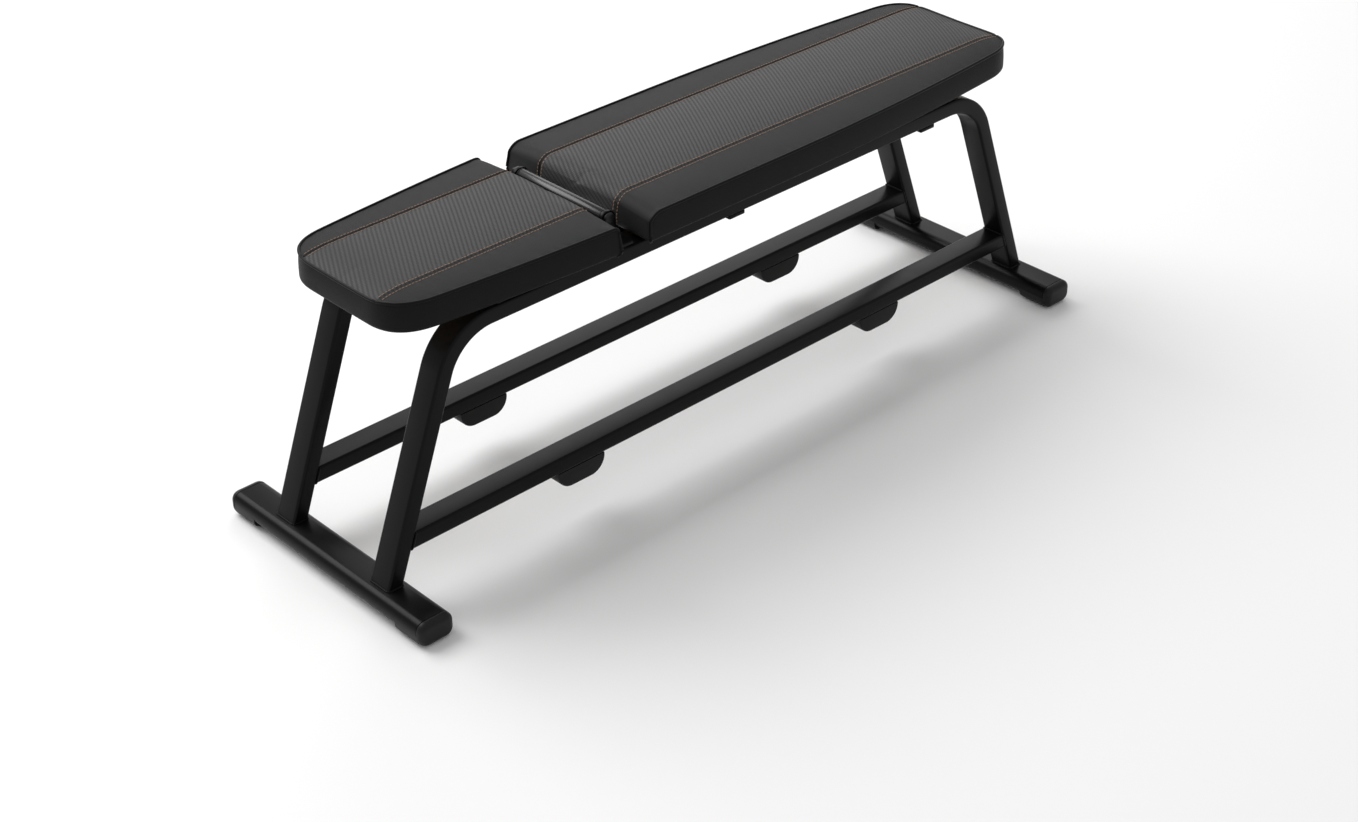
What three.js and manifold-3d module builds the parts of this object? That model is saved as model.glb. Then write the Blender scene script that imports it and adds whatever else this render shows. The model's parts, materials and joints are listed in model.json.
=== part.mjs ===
// Adjustable weight bench: two bent side frames on foot tubes, a fixed seat, and a backrest
// that tilts about a hinge bar in the gap between the pads. A folding prop under the backrest
// drops its crossbar into the notches of two ladder plates.
// Millimetres. +X points to the head end, +Y to the bench's right side, +Z up, floor at Z = 0.

import * as THREE from 'three';
import { mergeVertices } from 'three/addons/utils/BufferGeometryUtils.js';
import Module from 'manifold-3d';

const wasm = await Module();
wasm.setup();

// ---------- Driving dimensions ----------

const clearance = 0.3; // gap between two pieces that touch
const sides = { left: -1, right: 1 };
const ends = { front: -1, rear: 1 };

const foot = { span: 1250, length: 428, width: 55, height: 29, corner: 13, wall: 2 };
const cap = { tip: 11, sole: 7, soleLength: 46, plug: 18, round: 5 };

const frameTop = 383; // top faces of the side frames
const frameTube = { width: 40, depth: 24, corner: 4, wall: 1.8 };
const legInset = 2; // from a foot tube's middle to the leg that stands on it
const frameSpacing = 210; // between the two side frames' centre planes
const strapToCorner = 95; // from the rear strap to the corner of a side frame's centre line
const bendRadius = 85;
const bendSteps = 7;

const rack = { bottom: 82.5, width: 40, depth: 24, corner: 4, wall: 1.8 };
const block = { reach: 300, length: 84, height: 28, corner: 25, inset: 1 };

const strap = { width: 30, thickness: 5.7, corner: 2, behindHinge: 63.5 };

const padRise = 5; // underside of the pads above the frame tops
const padThickness = 52;
const padRound = 9; // rounding of the pads' top edges
const pillow = { border: 12, boardThickness: 12 };
const seat = {
  blunt: -238,
  nose: -587,
  shoulder: -238,
  halfWidth: 145,
  tipHalfWidth: 124,
  ease: 0.35,
  corner: 65,
};
const back = {
  blunt: -189,
  nose: 594,
  shoulder: 60,
  halfWidth: 147,
  tipHalfWidth: 123.5,
  ease: 1,
  corner: 63,
};

const seatStrap = { places: { front: -415, rear: -290 }, width: 30, boltSpread: 120 };
const bumper = { places: { front: -120, rear: 400 }, radius: 10 };

const hinge = { rise: 25, sleeveRadius: 11, sleeveBore: 8.5, boltRadius: 6 };
const bracket = { offset: 1.5, thickness: 4.5, width: 32, round: 12, flange: 36 };
const bushing = { bodyLength: 15, flangeThickness: 2, flangeRadius: 11 };

const backRail = { size: 20, corner: 2.5, wall: 2, spacing: 80, front: -165, rear: 370 };
const hingeArm = {
  thickness: 5,
  halfWidth: 15,
  rear: -100,
  lip: 0.5,
  saddleDrop: 2,
  heel: 10,
  corner: 3,
  bend: 2,
};
const crossPlate = { places: { front: -120, rear: 300 }, width: 50, thickness: 4.5, boltSpread: 32 };
const railCap = { head: 3, plug: 12 };

const prop = {
  pivot: 72,
  length: 315,
  width: 18,
  thickness: 6,
  gap: 0.6,
  barRadius: 5,
  pinRadius: 5,
};
const propSleeve = { radius: 8, length: 15, offset: 5, endRadius: 7, endThickness: 2 };

// The ladder's notches hold the crossbar at even steps of the backrest's angle, in degrees.
const ladder = {
  first: 22,
  last: 70,
  count: 6,
  inset: 8.4, // from the crossbar sleeve's inner end to the plate
  thickness: 5,
  depth: 8,
  slack: 0.8,
  hover: 1.2,
  web: 14.3,
  corner: 4,
  strapGap: 1,
  before: 4, // the raised edge starts this many degrees before the first notch
  past: 3, // and ends this many degrees past the last one
  frontMargin: 29.6, // from the last notch to the middle of the front strap
  rearMargin: 32.5, // from the first notch to the middle of the rear strap
};

const boltM8 = { radius: 4, across: 13, head: 5 };
const boltM10 = { radius: 5, across: 17, head: 5, nut: 6 };
const boltM12 = { headRadius: 10, head: 5, chamfer: 2, across: 18, nut: 7, tail: 3 };
const boltHold = 10; // how far a pad bolt reaches into its board
const runningGap = 0.3; // radial clearance of a hole round its bolt or pin
const through = 1; // how far a cutting tool passes the face that it cuts
const leastRound = 1; // smallest corner radius of a drawn or moulded section
const flatLeft = 0.5; // short flat between two roundings that nearly meet

const curveSteps = 2; // an arc gets twice this many straight steps
const outlineSteps = 9; // steps along each curve of a pad's outline
const roundSides = 24;

// ---------- Sizes that follow from the driving ones ----------

const degrees = Math.PI / 180;
const footTop = cap.sole + foot.height;
const railSide = frameSpacing / 2;
const railInner = railSide - frameTube.width / 2;
const frameUnder = frameTop - frameTube.depth;
const padBottom = frameTop + padRise;
const mountTop = padBottom - clearance;
const hingeX = (seat.blunt + back.blunt) / 2;
const hingeZ = padBottom + hinge.rise;
const backRailSide = backRail.spacing / 2;
const backRailOuter = backRailSide + backRail.size / 2;
const backRailInner = backRailSide - backRail.size / 2;
const backRailTop = mountTop;
const backRailBottom = backRailTop - backRail.size;
const backRailZ = backRailTop - backRail.size / 2;
const strapTop = frameUnder - clearance;
const strapBottom = strapTop - strap.thickness;
const legRise = frameTop - frameTube.depth / 2 - footTop;
const sleeveHalf = railInner + bracket.offset - bushing.flangeThickness - 2 * clearance;
const propArmInner = backRailOuter + prop.gap;
const propArmOuter = propArmInner + prop.thickness;
const propSleeveInner = propArmOuter + propSleeve.offset;
const propSleeveOuter = propSleeveInner + propSleeve.length;
const ladderInner = propSleeveInner + ladder.inset;
const ladderOuter = ladderInner + ladder.thickness;
const strapPlaces = {
  cross_strap_front: crossbarAt(ladder.last)[0] - ladder.frontMargin,
  cross_strap_rear: crossbarAt(ladder.first)[0] + ladder.rearMargin,
  cross_strap_hinge: hingeX + strap.behindHinge,
};
const topCorner = strapPlaces.cross_strap_rear + strap.width / 2 + strapToCorner;
const legFoot = foot.span / 2 - legInset;
const legRun = legFoot - topCorner;
const legLength = Math.hypot(legRun, legRise);

// ---------- Solids ----------

const bench = new THREE.Group();

const steel = { color: 0x1c1c1d, roughness: 0.42, metalness: 0.35 };
const bareSteel = { color: 0x8d8f92, roughness: 0.35, metalness: 0.9 };
const plastic = { color: 0x141415, roughness: 0.55, metalness: 0 };
const rubber = { color: 0x19191a, roughness: 0.8, metalness: 0 };
const plywood = { color: 0x9a7b55, roughness: 0.75, metalness: 0 };
const vinyl = { color: 0x2b2b2c, roughness: 0.6, metalness: 0 };

function addPiece(name, geometry, finish) {
  const mesh = new THREE.Mesh(geometry, new THREE.MeshStandardMaterial(finish));
  mesh.name = name;
  bench.add(mesh);
}

function toManifold(geometry) {
  const bare = geometry.clone();
  bare.deleteAttribute('normal');
  bare.deleteAttribute('uv');
  const merged = mergeVertices(bare);
  const vertProperties = new Float32Array(merged.attributes.position.array);
  const triVerts = new Uint32Array(merged.index.array);
  return new wasm.Manifold(new wasm.Mesh({ numProp: 3, vertProperties, triVerts }));
}

function toGeometry(manifold) {
  const mesh = manifold.getMesh();
  const geometry = new THREE.BufferGeometry();
  geometry.setAttribute('position', new THREE.BufferAttribute(mesh.vertProperties, 3));
  geometry.setIndex(new THREE.BufferAttribute(mesh.triVerts, 1));
  const flat = geometry.toNonIndexed();
  flat.computeVertexNormals();
  return flat;
}

function join(first, ...others) {
  return toGeometry(others.reduce((whole, other) => whole.add(toManifold(other)), toManifold(first)));
}

function cut(first, ...tools) {
  return toGeometry(tools.reduce((whole, tool) => whole.subtract(toManifold(tool)), toManifold(first)));
}

function keepInside(first, second) {
  return toGeometry(toManifold(first).intersect(toManifold(second)));
}

// A closed outline through corners given as [x, y, radius], with an arc at each round one.
function roundedShape(corners) {
  const shape = new THREE.Shape();
  const points = corners.map(([x, y]) => new THREE.Vector2(x, y));
  corners.forEach(([x, y, radius = 0], index) => {
    if (radius === 0) {
      if (index === 0) shape.moveTo(x, y);
      else shape.lineTo(x, y);
      return;
    }
    const corner = points[index];
    const toBefore = points.at(index - 1).clone().sub(corner).normalize();
    const toAfter = points[(index + 1) % points.length].clone().sub(corner).normalize();
    const halfAngle = Math.acos(toBefore.dot(toAfter)) / 2;
    const reach = radius / Math.tan(halfAngle);
    const toCentre = toBefore.clone().add(toAfter).normalize().multiplyScalar(radius / Math.sin(halfAngle));
    const centre = corner.clone().add(toCentre);
    const from = toBefore.clone().multiplyScalar(reach).add(corner).sub(centre);
    const to = toAfter.clone().multiplyScalar(reach).add(corner).sub(centre);
    shape.absarc(centre.x, centre.y, radius, from.angle(), to.angle(), toBefore.cross(toAfter) > 0);
  });
  return shape;
}

function rectangle(width, height, corner = 0) {
  const x = width / 2;
  const y = height / 2;
  return roundedShape([[-x, -y, corner], [x, -y, corner], [x, y, corner], [-x, y, corner]]);
}

function tubeSection(width, height, corner, wall) {
  const section = rectangle(width, height, corner);
  section.holes.push(rectangle(width - 2 * wall, height - 2 * wall, Math.max(corner - wall, leastRound)));
  return section;
}

function extrude(shape, depth) {
  return new THREE.ExtrudeGeometry(shape, { depth, bevelEnabled: false, curveSegments: curveSteps });
}

const axisX = new THREE.Vector3(1, 0, 0);
const axisY = new THREE.Vector3(0, 1, 0);
const axisZ = new THREE.Vector3(0, 0, 1);
const turnAlongX = new THREE.Matrix4().makeBasis(axisY, axisZ, axisX);
const turnAlongY = new THREE.Matrix4().makeBasis(axisX, axisZ, axisY.clone().negate());

// Prisms: the shape's own x and y become the two axes that aren't the one it runs along.
function prismX(shape, from, to) {
  return extrude(shape, to - from).applyMatrix4(turnAlongX).translate(from, 0, 0);
}

function prismY(shape, from, to) {
  return extrude(shape, to - from).applyMatrix4(turnAlongY).translate(0, to, 0);
}

function prismZ(shape, from, to) {
  return extrude(shape, to - from).translate(0, 0, from);
}

function slab(x, y, z) {
  const box = new THREE.BoxGeometry(x[1] - x[0], y[1] - y[0], z[1] - z[0]);
  return box.translate((x[0] + x[1]) / 2, (y[0] + y[1]) / 2, (z[0] + z[1]) / 2);
}

// Round solids: a profile of [radius, distance along Y] points turned about the Y axis.
function turned(profile, x, z) {
  const points = profile.map(([radius, along]) => new THREE.Vector2(radius, along));
  return new THREE.LatheGeometry(points, roundSides).translate(x, 0, z);
}

function rodY(radius, from, to, x, z) {
  return turned([[0, from], [radius, from], [radius, to], [0, to]], x, z);
}

function rodZ(radius, from, to, x, y) {
  const rod = new THREE.CylinderGeometry(radius, radius, to - from, roundSides);
  return rod.rotateX(Math.PI / 2).translate(x, y, (from + to) / 2);
}

function hexagon(across) {
  const radius = across / 2 / Math.cos(Math.PI / 6);
  const corners = Array.from({ length: 6 }, (_, k) => k * 60 * degrees);
  return roundedShape(corners.map((angle) => [radius * Math.cos(angle), radius * Math.sin(angle)]));
}

// A hexagon bolt standing on its head, with the underside of the work at height z.
function uprightBolt(x, y, z, reach) {
  const head = prismZ(hexagon(boltM8.across), z - boltM8.head, z);
  const shank = rodZ(boltM8.radius, -through, reach, 0, 0).translate(0, 0, z);
  return join(head, shank).translate(x, y, 0);
}

// ---------- Foot tubes and their caps ----------

const tubeHalf = foot.length / 2 - cap.tip;

function addFoot(end, x) {
  const section = tubeSection(foot.width, foot.height, foot.corner, foot.wall);
  const tube = prismY(section, -tubeHalf + clearance, tubeHalf - clearance);
  addPiece(`foot_tube_${end}`, tube.translate(x, 0, cap.sole + foot.height / 2), steel);
}

// The cap closes the tube, plugs into it and carries a sole under its end.
function capSolid() {
  const outline = rectangle(foot.width - 2 * cap.round, footTop - 2 * cap.round, foot.corner - cap.round);
  const outer = new THREE.ExtrudeGeometry(outline, {
    depth: cap.tip + cap.soleLength - 2 * cap.round,
    bevelThickness: cap.round,
    bevelSize: cap.round,
    bevelSegments: 2,
    curveSegments: curveSteps,
  });
  const tip = foot.length / 2;
  const body = outer.applyMatrix4(turnAlongY).translate(0, tip - cap.round, footTop / 2);
  const tubeZ = cap.sole + foot.height / 2;
  const spread = 2 * clearance;
  const corner = foot.corner + clearance;
  const seatCut = prismY(rectangle(foot.width + spread, foot.height + spread, corner), 0, tubeHalf);
  const topCut = slab([-foot.width, foot.width], [0, tubeHalf], [tubeZ, footTop * 2]);
  const inside = 2 * (foot.wall + clearance);
  const plugShape = rectangle(foot.width - inside, foot.height - inside, foot.corner - inside / 2);
  const plug = prismY(plugShape, tubeHalf - cap.plug, tubeHalf + through).translate(0, 0, tubeZ);
  return join(cut(body, seatCut.translate(0, 0, tubeZ), topCut), plug);
}

function addFootCap(end, side) {
  const turn = sides[side] > 0 ? 0 : Math.PI;
  const solid = capSolid().rotateZ(turn).translate(ends[end] * foot.span / 2, 0, 0);
  addPiece(`foot_cap_${end}_${side}`, solid, plastic);
}

// ---------- Bent side frames and the rack rails between their legs ----------

// A flat route of straight runs joined by round bends. Its stations are the ends of the runs
// and the steps round each bend, so the extrusion has a ring only where it needs one.
class BentRoute extends THREE.Curve {
  constructor(corners, radius, steps) {
    super();
    this.stations = [];
    this.directions = [];
    corners.forEach((corner, index) => {
      const last = corners.length - 1;
      const before = corner.clone().sub(corners[Math.max(index - 1, 0)]).normalize();
      const after = corners[Math.min(index + 1, last)].clone().sub(corner).normalize();
      if (index === 0 || index === last) {
        this.addStation(corner, index === 0 ? after : before);
        return;
      }
      const turn = Math.acos(before.dot(after));
      const reach = radius * Math.tan(turn / 2);
      const axis = before.clone().cross(after).normalize();
      const start = corner.clone().addScaledVector(before, -reach);
      const centre = start.clone().addScaledVector(axis.clone().cross(before), radius);
      for (let step = 0; step <= steps; step += 1) {
        const angle = turn * step / steps;
        const spoke = start.clone().sub(centre).applyAxisAngle(axis, angle);
        this.addStation(spoke.add(centre), before.clone().applyAxisAngle(axis, angle));
      }
    });
    this.steps = this.stations.length - 1;
  }

  addStation(point, direction) {
    this.stations.push(point.clone());
    this.directions.push(direction.clone());
  }

  getUtoTmapping(u) {
    return u;
  }

  getPoint(t, target = new THREE.Vector3()) {
    return target.copy(this.stations[Math.round(t * this.steps)]);
  }

  getTangent(t, target = new THREE.Vector3()) {
    return target.copy(this.directions[Math.round(t * this.steps)]);
  }
}

// A point of the front (-1) or rear (1) leg's centre line, at a height above the floor.
function legPoint(end, z) {
  const run = legFoot - legRun * (z - footTop) / legRise;
  return new THREE.Vector3(end * run, 0, z);
}

function addSideFrame(side) {
  const railZ = frameTop - frameTube.depth / 2;
  const corners = [legPoint(-1, cap.sole), legPoint(-1, railZ), legPoint(1, railZ), legPoint(1, cap.sole)];
  const route = new BentRoute(corners, bendRadius, bendSteps);
  const section = tubeSection(frameTube.width, frameTube.depth, frameTube.corner, frameTube.wall);
  const options = { steps: route.steps, extrudePath: route, curveSegments: curveSteps };
  const tube = new THREE.ExtrudeGeometry(section, options);
  const reach = [-foot.span, foot.span];
  const below = slab(reach, reach, [-foot.span, footTop + clearance]);
  addPiece(`side_frame_${side}`, cut(tube, below).translate(0, sides[side] * railSide, 0), steel);
}

// The rack rail butts against the inner faces of the two slanted legs.
function addRackRail(side) {
  const top = rack.bottom + rack.depth;
  const inset = (frameTube.depth / 2 + clearance) * legLength / legRise;
  const lowEnd = legPoint(1, rack.bottom).x - inset;
  const highEnd = legPoint(1, top).x - inset;
  const corners = [[-lowEnd, rack.bottom], [lowEnd, rack.bottom], [highEnd, top], [-highEnd, top]];
  const profile = roundedShape(corners);
  const section = tubeSection(rack.width, rack.depth, rack.corner, rack.wall);
  const tube = prismX(section, -lowEnd, lowEnd).translate(0, 0, rack.bottom + rack.depth / 2);
  const ended = keepInside(tube, prismY(profile, -rack.width, rack.width));
  addPiece(`rack_rail_${side}`, ended.translate(0, sides[side] * railSide, 0), steel);
}

// A block with two large round lower corners under each end of a rack rail.
function addRailBlock(end, side) {
  const half = block.length / 2;
  const top = rack.bottom - clearance;
  const low = top - block.height;
  const corners = [[-half, low, block.corner], [half, low, block.corner], [half, top], [-half, top]];
  const shape = roundedShape(corners);
  const halfWidth = rack.width / 2 - block.inset;
  const solid = prismY(shape, -halfWidth, halfWidth);
  solid.translate(ends[end] * block.reach, sides[side] * railSide, 0);
  addPiece(`rail_block_${end}_${side}`, solid, rubber);
}

// ---------- Straps across the frames ----------

// The strap by the hinge stops under the middle of each side frame, out of sight.
function addCrossStraps() {
  for (const [name, x] of Object.entries(strapPlaces)) {
    const half = name === 'cross_strap_hinge' ? railSide : railSide + frameTube.width / 2 - strap.corner;
    const shape = rectangle(strap.width, 2 * half, strap.corner);
    addPiece(name, prismZ(shape, strapBottom, strapTop).translate(x, 0, 0), steel);
  }
}

function addSeatStraps() {
  const half = railSide + frameTube.width / 2 - strap.corner;
  const low = frameTop + clearance;
  for (const [end, x] of Object.entries(seatStrap.places)) {
    const flat = prismZ(rectangle(seatStrap.width, 2 * half, strap.corner), low, mountTop);
    const holes = Object.values(sides).map((side) => {
      const y = side * seatStrap.boltSpread / 2;
      return rodZ(boltM8.radius + runningGap, low - through, mountTop + through, 0, y);
    });
    addPiece(`seat_strap_${end}`, cut(flat, ...holes).translate(x, 0, 0), steel);
    for (const [side, sign] of Object.entries(sides)) {
      const reach = mountTop - low + boltHold;
      const bolt = uprightBolt(x, sign * seatStrap.boltSpread / 2, low - clearance, reach + clearance);
      addPiece(`seat_bolt_${end}_${side}`, bolt, bareSteel);
    }
  }
}

// ---------- Pads and their boards ----------

// A pad's outline seen from above: one square end, straight or easing sides, and a nose end
// with two large round corners. inset moves the whole outline inwards.
function padOutline(pad, inset) {
  const way = Math.sign(pad.nose - pad.blunt);
  const nose = pad.nose - way * inset;
  const halfWidth = pad.halfWidth - inset;
  const tip = pad.tipHalfWidth - inset;
  const corner = pad.corner - inset;
  const taperEnd = nose - way * corner;
  const bend = halfWidth - (1 - pad.ease) * (halfWidth - tip) / 2;
  const half = new THREE.Path();
  half.moveTo(pad.blunt + way * inset, halfWidth);
  if (pad.shoulder !== pad.blunt) half.lineTo(pad.shoulder, halfWidth);
  half.quadraticCurveTo((pad.shoulder + taperEnd) / 2, bend, taperEnd, tip);
  const slope = (bend - tip) / Math.abs(taperEnd - pad.shoulder) * 2;
  half.quadraticCurveTo(nose, tip - slope * corner, nose, tip - corner);
  const side = half.getPoints(outlineSteps);
  const otherSide = side.map((point) => new THREE.Vector2(point.x, -point.y)).reverse();
  return new THREE.Shape([...side, ...otherSide]);
}

function boardHoles(boltPlaces) {
  return boltPlaces.map(([x, y]) => {
    const radius = boltM8.radius + runningGap;
    const boardTop = padBottom + pillow.boardThickness;
    return rodZ(radius, padBottom - through, boardTop + through, x, y);
  });
}

function addPad(name, pad, boltPlaces) {
  const boardTop = padBottom + pillow.boardThickness;
  const board = prismZ(padOutline(pad, pillow.border), padBottom, boardTop);
  addPiece(`${name}_board`, cut(board, ...boardHoles(boltPlaces)), plywood);
  const cushion = new THREE.ExtrudeGeometry(padOutline(pad, padRound), {
    depth: padThickness,
    bevelThickness: padRound,
    bevelSize: padRound,
    bevelSegments: 2,
  });
  cushion.translate(0, 0, padBottom - padRound);
  const wide = [-foot.span, foot.span];
  const below = slab(wide, wide, [-foot.span, padBottom]);
  const pocket = prismZ(padOutline(pad, pillow.border - clearance), 0, boardTop + clearance);
  addPiece(`${name}_pad`, cut(cushion, below, pocket), vinyl);
}

// ---------- Hinge between the frame and the backrest ----------

function addHingeBrackets() {
  const low = frameTop + clearance;
  const inner = railInner + bracket.offset;
  for (const [side, sign] of Object.entries(sides)) {
    const half = bracket.width / 2;
    const high = hingeZ + bracket.round;
    const ear = bracket.round;
    const corners = [[-half, low], [half, low], [ear, high, ear - flatLeft], [-ear, high, ear - flatLeft]];
    const plate = prismY(roundedShape(corners), inner, inner + bracket.thickness);
    const flange = slab([-half, half], [inner, inner + bracket.flange], [low, low + bracket.thickness]);
    const outer = inner + bracket.thickness;
    const hole = rodY(hinge.boltRadius + runningGap, inner - through, outer + through, 0, hingeZ);
    const solid = cut(join(plate, flange), hole).rotateZ(sign > 0 ? 0 : Math.PI);
    addPiece(`hinge_bracket_${side}`, solid.translate(hingeX, 0, 0), steel);
  }
}

function addHingeBolt() {
  const outer = railInner + bracket.offset + bracket.thickness + clearance;
  const far = outer + boltM12.nut + boltM12.tail;
  const crown = boltM12.headRadius - boltM12.chamfer;
  const profile = [[0, -outer - boltM12.head], [crown, -outer - boltM12.head]];
  profile.push([boltM12.headRadius, -outer - boltM12.head / 2], [boltM12.headRadius, -outer]);
  profile.push([hinge.boltRadius, -outer], [hinge.boltRadius, far], [0, far]);
  addPiece('hinge_bolt', turned(profile, hingeX, hingeZ), bareSteel);
  const nut = prismY(hexagon(boltM12.across), outer, outer + boltM12.nut).translate(hingeX, 0, hingeZ);
  const bore = rodY(hinge.boltRadius + runningGap, outer - through, far, hingeX, hingeZ);
  addPiece('hinge_nut', cut(nut, bore), bareSteel);
}

function addHingeSleeve() {
  const wall = [[hinge.sleeveBore, -sleeveHalf], [hinge.sleeveRadius, -sleeveHalf]];
  wall.push([hinge.sleeveRadius, sleeveHalf], [hinge.sleeveBore, sleeveHalf], wall[0]);
  addPiece('hinge_sleeve', turned(wall, hingeX, hingeZ), steel);
  const bore = hinge.boltRadius + runningGap;
  const body = hinge.sleeveBore - clearance;
  const inside = sleeveHalf - bushing.bodyLength;
  const face = sleeveHalf + clearance;
  const outside = face + bushing.flangeThickness;
  for (const [side, sign] of Object.entries(sides)) {
    const ring = [[bore, inside], [body, inside], [body, face], [bushing.flangeRadius, face]];
    ring.push([bushing.flangeRadius, outside], [bore, outside], ring[0]);
    const solid = turned(ring, 0, 0).rotateZ(sign > 0 ? 0 : Math.PI);
    addPiece(`hinge_bushing_${side}`, solid.translate(hingeX, 0, hingeZ), plastic);
  }
}

// The arm runs along a back rail and rises in front of the pad to a saddle under the sleeve.
function addHingeArms() {
  const low = backRailBottom + hingeArm.lip;
  const high = backRailTop - hingeArm.lip;
  const front = hingeX - hingeArm.halfWidth;
  const rear = hingeX + hingeArm.halfWidth;
  const horn = hingeZ - hingeArm.saddleDrop;
  const toe = [[hingeArm.rear, low, hingeArm.corner], [hingeArm.rear, high, hingeArm.corner]];
  const upright = [[rear, high, hingeArm.bend], [rear, horn], [front, horn]];
  const corners = [[front, low, hingeArm.heel], ...toe, ...upright];
  const inner = backRailOuter + clearance;
  const outer = inner + hingeArm.thickness;
  for (const [side, sign] of Object.entries(sides)) {
    const plate = prismY(roundedShape(corners), inner, outer);
    const round = hinge.sleeveRadius + clearance;
    const saddle = rodY(round, inner - through, outer + through, hingeX, hingeZ);
    const solid = cut(plate, saddle).translate(0, sign > 0 ? 0 : -inner - outer, 0);
    addPiece(`hinge_arm_${side}`, solid, steel);
  }
}

// ---------- Backrest frame ----------

function addBackRails() {
  for (const [side, sign] of Object.entries(sides)) {
    const y = sign * backRailSide;
    const section = tubeSection(backRail.size, backRail.size, backRail.corner, backRail.wall);
    const tube = prismX(section, backRail.front, backRail.rear).translate(0, y, backRailZ);
    const pinRound = prop.pinRadius + runningGap;
    const pinHole = rodY(pinRound, y - backRail.size, y + backRail.size, prop.pivot, backRailZ);
    addPiece(`back_rail_${side}`, cut(tube, pinHole), steel);
    const face = rectangle(backRail.size, backRail.size, backRail.corner);
    const from = backRail.rear + clearance;
    const head = prismX(face, from, from + railCap.head);
    const bore = backRail.size - 2 * (backRail.wall + clearance);
    const plug = prismX(rectangle(bore, bore, leastRound), from - railCap.plug, from + through);
    addPiece(`back_rail_cap_${side}`, join(head, plug).translate(0, y, backRailZ), plastic);
  }
}

function addCrossPlates() {
  const half = backRailInner - clearance;
  const low = mountTop - crossPlate.thickness;
  for (const [end, x] of Object.entries(crossPlate.places)) {
    const flat = prismZ(rectangle(crossPlate.width, 2 * half, leastRound), low, mountTop);
    const spread = crossPlate.boltSpread / 2;
    const bore = boltM8.radius + runningGap;
    const holes = [-spread, spread].map((y) => rodZ(bore, low - through, mountTop + through, 0, y));
    addPiece(`back_cross_plate_${end}`, cut(flat, ...holes).translate(x, 0, 0), steel);
    for (const [side, sign] of Object.entries(sides)) {
      const reach = crossPlate.thickness + boltHold + clearance;
      const bolt = uprightBolt(x, sign * spread, low - clearance, reach);
      addPiece(`back_bolt_${end}_${side}`, bolt, bareSteel);
    }
  }
}

// Rubber pucks on the side frames carry the lowered backrest.
function addRestBumpers() {
  for (const [end, x] of Object.entries(bumper.places)) {
    for (const [side, sign] of Object.entries(sides)) {
      const puck = rodZ(bumper.radius, frameTop + clearance, mountTop, x, sign * railSide);
      addPiece(`rest_bumper_${end}_${side}`, puck, rubber);
    }
  }
}

// ---------- Folding prop and the ladder that it steps along ----------

function addProp() {
  const half = prop.width / 2;
  const tail = prop.pivot - half;
  const tip = prop.pivot + prop.length + half;
  const low = backRailZ - half;
  const high = backRailZ + half;
  const round = half - flatLeft;
  const corners = [[tail, low, round], [tip, low, round], [tip, high, round], [tail, high, round]];
  const shape = roundedShape(corners);
  const barX = prop.pivot + prop.length;
  for (const [side, sign] of Object.entries(sides)) {
    const arm = prismY(shape, propArmInner, propArmOuter);
    const near = propArmInner - through;
    const far = propArmOuter + through;
    const barHole = rodY(prop.barRadius + runningGap, near, far, barX, backRailZ);
    const pinHole = rodY(prop.pinRadius + runningGap, near, far, prop.pivot, backRailZ);
    const solid = cut(arm, barHole, pinHole).translate(0, sign > 0 ? 0 : -propArmInner - propArmOuter, 0);
    addPiece(`prop_arm_${side}`, solid, steel);
    const bore = prop.barRadius + runningGap;
    const from = sign > 0 ? propSleeveInner : -propSleeveOuter;
    const to = from + propSleeve.length;
    const outside = propSleeve.radius;
    const ring = [[bore, from], [outside, from], [outside, to], [bore, to], [bore, from]];
    addPiece(`prop_bar_sleeve_${side}`, turned(ring, barX, backRailZ), plastic);
  }
  const near = propSleeveOuter + clearance;
  const end = near + propSleeve.endThickness;
  const stud = propSleeve.endRadius;
  const bar = [[0, -end], [stud, -end], [stud, -near], [prop.barRadius, -near]];
  bar.push([prop.barRadius, near], [stud, near], [stud, end], [0, end]);
  addPiece('prop_crossbar', turned(bar, barX, backRailZ), bareSteel);
}

function addPropPin() {
  const outer = propArmOuter + clearance;
  const far = outer + boltM10.nut + through;
  const head = prismY(hexagon(boltM10.across), -outer - boltM10.head, -outer);
  const shank = rodY(prop.pinRadius, -outer - through, far, 0, 0);
  addPiece('prop_pivot_pin', join(head, shank).translate(prop.pivot, 0, backRailZ), bareSteel);
  const nut = prismY(hexagon(boltM10.across), outer, outer + boltM10.nut);
  const bore = rodY(boltM10.radius + runningGap, outer - through, far, 0, 0);
  addPiece('prop_pivot_nut', cut(nut, bore).translate(prop.pivot, 0, backRailZ), bareSteel);
}

// Centre of the prop's crossbar when the backrest is raised by an angle and the prop, folding
// back at twice that angle from the rails, leans the other way by the same angle.
function crossbarAt(tilt) {
  const angle = tilt * degrees;
  const along = prop.pivot - hingeX;
  const drop = hingeZ - backRailZ;
  const x = hingeX + (along + prop.length) * Math.cos(angle) + drop * Math.sin(angle);
  const z = hingeZ + (along - prop.length) * Math.sin(angle) - drop * Math.cos(angle);
  return [x, z];
}

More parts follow.
